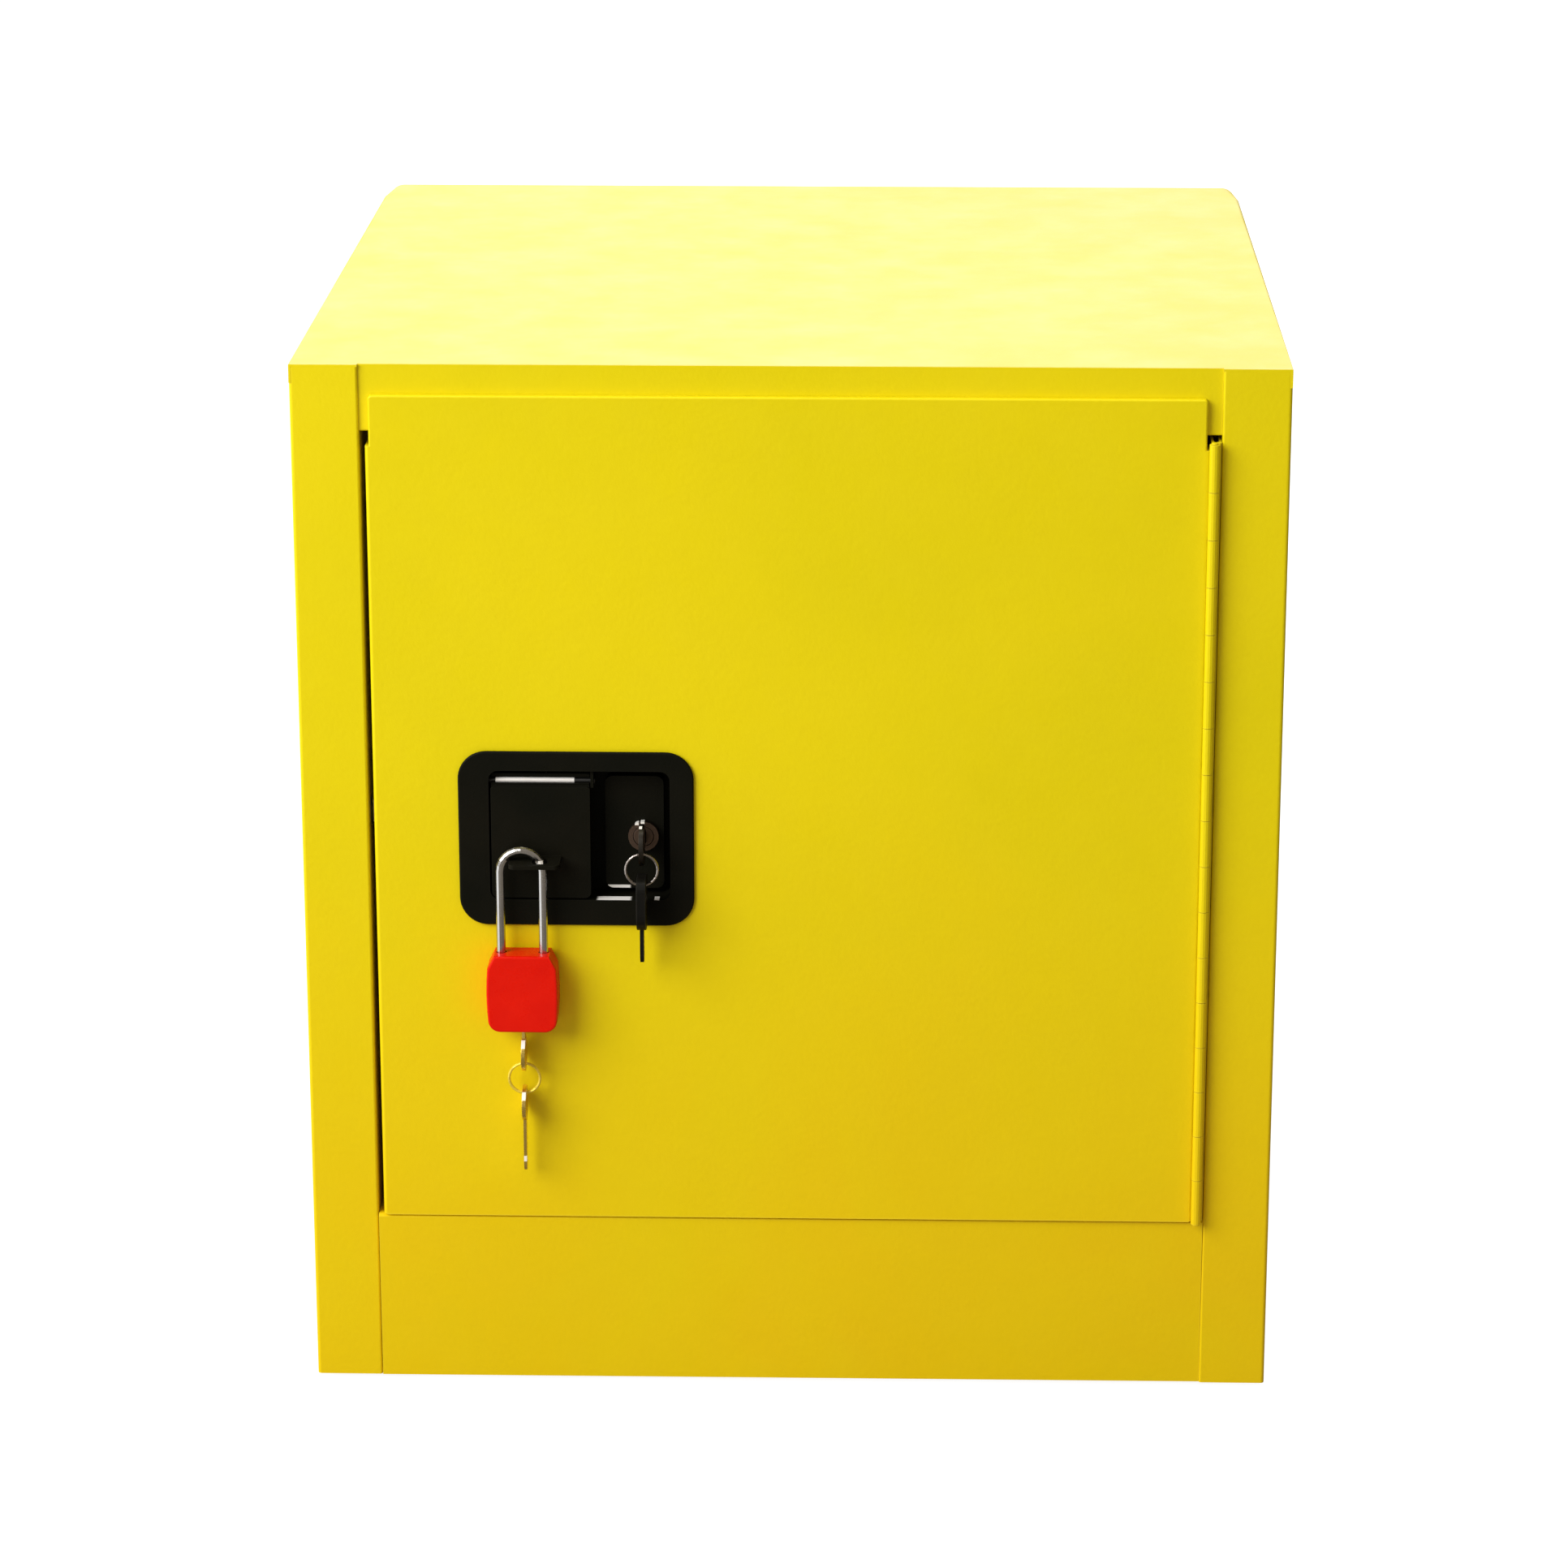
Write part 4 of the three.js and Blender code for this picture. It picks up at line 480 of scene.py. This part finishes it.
def front_outline(work):
    """Edges round the door's front sheet: the bottom one, and the rest without the opening for the latch."""
    front = min(v.co.y for v in work.verts)
    bottom = min(v.co.z for v in work.verts)
    around = [
        e for e in work.edges
        if all(v.co.y < front + SAME_PLANE for v in e.verts) and e.calc_face_angle() > DOOR_FOLD
    ]
    below = [e for e in around if all(v.co.z < bottom + SAME_PLANE for v in e.verts)]
    latch = [
        e for e in around
        if all(LATCH_X[0] < v.co.x < LATCH_X[1] and LATCH_Z[0] < v.co.z < LATCH_Z[1] for v in e.verts)
    ]
    return below, [e for e in around if e not in below and e not in latch]


def close_seams(work, sides, sink):
    """Moves ends of a rail out to the strips beside it, as the coat fills the seams, and back by sink."""
    for side in sides:
        end = max(v.co.x * side for v in work.verts)
        for vertex in work.verts:
            if vertex.co.x * side > end - SAME_PLANE:
                vertex.co.x += side * SEAM_GAP
                vertex.co.y += sink


def lean_out(work):
    """Tilts the front face of the sill so that its upper edge comes out towards the door above it."""
    front = min(v.co.y for v in work.verts)
    middle = (min(v.co.z for v in work.verts) + max(v.co.z for v in work.verts)) / 2
    for vertex in work.verts:
        if vertex.co.y < front + SAME_PLANE and vertex.co.z > middle:
            vertex.co.y -= SILL_LEAN


def bevel(work, edges, width, segments, miter):
    bmesh.ops.bevel(
        work, geom=edges, offset=width, offset_type="OFFSET", segments=segments, profile=0.5,
        affect="EDGES", clamp_overlap=True, miter_outer=miter,
    )


def rounded(node, width, look=None):
    """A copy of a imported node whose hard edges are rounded, which stands for that node."""
    work = bmesh.new()
    work.from_mesh(nodes[node].data)
    bmesh.ops.remove_doubles(work, verts=work.verts, dist=SAME_PLACE)
    bmesh.ops.dissolve_limit(
        work, angle_limit=FLAT_TURN, use_dissolve_boundaries=False, verts=work.verts, edges=work.edges,
    )
    if node == "sill_rail":
        lean_out(work)
    if node in SEAMS:
        close_seams(work, *SEAMS[node])
    sharp = ()
    if node == "door_outer_skin":
        sharp, turned = front_outline(work)
        for vertex in {v for e in sharp for v in e.verts}:
            vertex.co.z -= DOOR_DROP
        bevel(work, turned, DOOR_TURN, DOOR_STEPS, "SHARP")
    hard = [
        e for e in work.edges
        if len(e.link_faces) == 2 and e.calc_face_angle() > HARD_TURN and e not in sharp
    ]
    bevel(work, hard, width, EDGE_STEPS, "ARC")
    work.verts.sort(key=lambda v: v.co.dot(ORDER))
    work.faces.sort(key=lambda f: f.calc_center_median().dot(ORDER))
    mesh = bpy.data.meshes.new(node + "_rounded")
    work.to_mesh(mesh)
    work.free()
    settle_normals(mesh)
    thing = piece(node + "_finished", mesh, slot_of[node], look)
    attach(thing, body_of[node])
    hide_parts(node)


def spring():
    """The bolt's spring, a copy of the imported node that stays where it stands."""
    thing = piece("bolt_spring_coil", nodes["bolt_spring"].data.copy(), slot_of["bolt_spring"])
    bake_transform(thing)
    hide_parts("bolt_spring")


for node, width in ROUNDED.items():
    rounded(node, width, look=SINGLE_LOOKS.get(node))
spring()
for node, thing in nodes.items():
    if not thing.hide_render:
        thing.data.materials.clear()
        thing.data.materials.append(SINGLE_LOOKS.get(node) or LOOKS[slot_of[node]])


# Stage: pale floor, white surroundings and four lamps. Lengths are in metres
FLOOR_SIZE = 30.0
FLOOR_SEEN = (0.80, 0.85, 0.92)  # the floor's colour to the camera
FLOOR_BOUNCE = (0.38, 0.335, 0.275)  # to light that bounces off it
FLOOR_MIRRORED = (0.20, 0.18, 0.155)  # in mirrors
GLOW = 1.56  # strength of the floor's own light
GLOW_SEEN = 0.60  # share of the glow in what the camera sees
GLOW_MIRRORED = 0.85  # and in what mirrors show of the floor left of the cabinet
GLOW_FROM, GLOW_FULL = -0.35, -0.75  # x where that glow starts and where it is full
AMBIENT = 0.325  # strength of the light from all sides
AMBIENT_TINT = (1.0, 0.86, 0.70)
WHITE = (1.0, 1.0, 1.0)

# Place, target, size and level of each lamp. At level 1 a white surface at the target shows as white
LAMPS = {
    "key": ((-2.515, -2.425, 2.376), (-0.05, -0.25, 0.36), (2.8, 2.8), 1.18),
    "left": ((-2.6, 0.1, 0.9), (-0.25, 0.0, 0.35), (2.6, 1.4), 0.28),
    "top": ((0.0, 0.15, 2.8), (0.0, 0.0, 0.56), (1.6, 1.6), 0.55),
    "back": ((0.0, 3.2, 1.65), (0.0, 0.2, 0.5), (2.6, 2.6), 0.30),
}


def stage_floor():
    """A floor that glows white to the camera, and is brown to the light that bounces off it."""
    bpy.ops.mesh.primitive_plane_add(size=FLOOR_SIZE, location=(0.0, 0.0, 0.0))
    floor = bpy.context.object
    floor.name = "floor"
    material = bpy.data.materials.new("pale_floor")
    material.use_nodes = True
    material.node_tree.nodes.clear()
    graph = Graph(material.node_tree)
    ray = graph.node("ShaderNodeLightPath").outputs
    place = graph.axes(graph.node("ShaderNodeTexCoord").outputs["Object"])
    left = graph.ramp(place["X"], GLOW_FROM, GLOW_FULL, 0.0, GLOW_MIRRORED)
    mirrored = graph.math("MULTIPLY", ray["Is Glossy Ray"], left)
    share = graph.math("MULTIPLY_ADD", ray["Is Camera Ray"], GLOW_SEEN, mirrored)
    unseen = graph.mix(ray["Is Glossy Ray"], FLOOR_BOUNCE, FLOOR_MIRRORED)
    soft = graph.node("ShaderNodeBsdfDiffuse")
    graph.feed(soft.inputs["Color"], graph.mix(ray["Is Camera Ray"], unseen, FLOOR_SEEN))
    white = graph.node("ShaderNodeEmission")
    white.inputs["Strength"].default_value = GLOW
    mixed = graph.node("ShaderNodeMixShader")
    for socket, value in zip(mixed.inputs, (share, soft.outputs["BSDF"], white.outputs["Emission"])):
        graph.feed(socket, value)
    graph.feed(graph.node("ShaderNodeOutputMaterial").inputs["Surface"], mixed.outputs["Shader"])
    floor.data.materials.append(material)


def surroundings():
    """White where the camera looks past the floor, and a weaker, warm light on the cabinet from all sides."""
    world = bpy.data.worlds.new("studio")
    bpy.context.scene.world = world
    world.use_nodes = True
    graph = Graph(world.node_tree)
    ray = graph.node("ShaderNodeLightPath").outputs
    seen = graph.math("MAXIMUM", ray["Is Camera Ray"], ray["Is Transmission Ray"])
    sky = world.node_tree.nodes["Background"].inputs
    graph.feed(sky["Strength"], graph.ramp(seen, 0.0, 1.0, AMBIENT, 1.0))
    graph.feed(sky["Color"], graph.mix(seen, AMBIENT_TINT, WHITE))


def lamp(name, place, target, size, level):
    """An area lamp, size wide and high, that lights a white surface facing it at the target to level."""
    data = bpy.data.lights.new(name, "AREA")
    data.shape = "RECTANGLE"
    data.size, data.size_y = size
    gap = Vector(place) - Vector(target)
    data.energy = math.pi ** 2 * gap.length_squared * level
    thing = new_object(name, data)
    thing.location = place
    thing.rotation_euler = gap.to_track_quat("Z", "Y").to_euler()


stage_floor()
surroundings()
for name, settings in LAMPS.items():
    lamp(name, *settings)
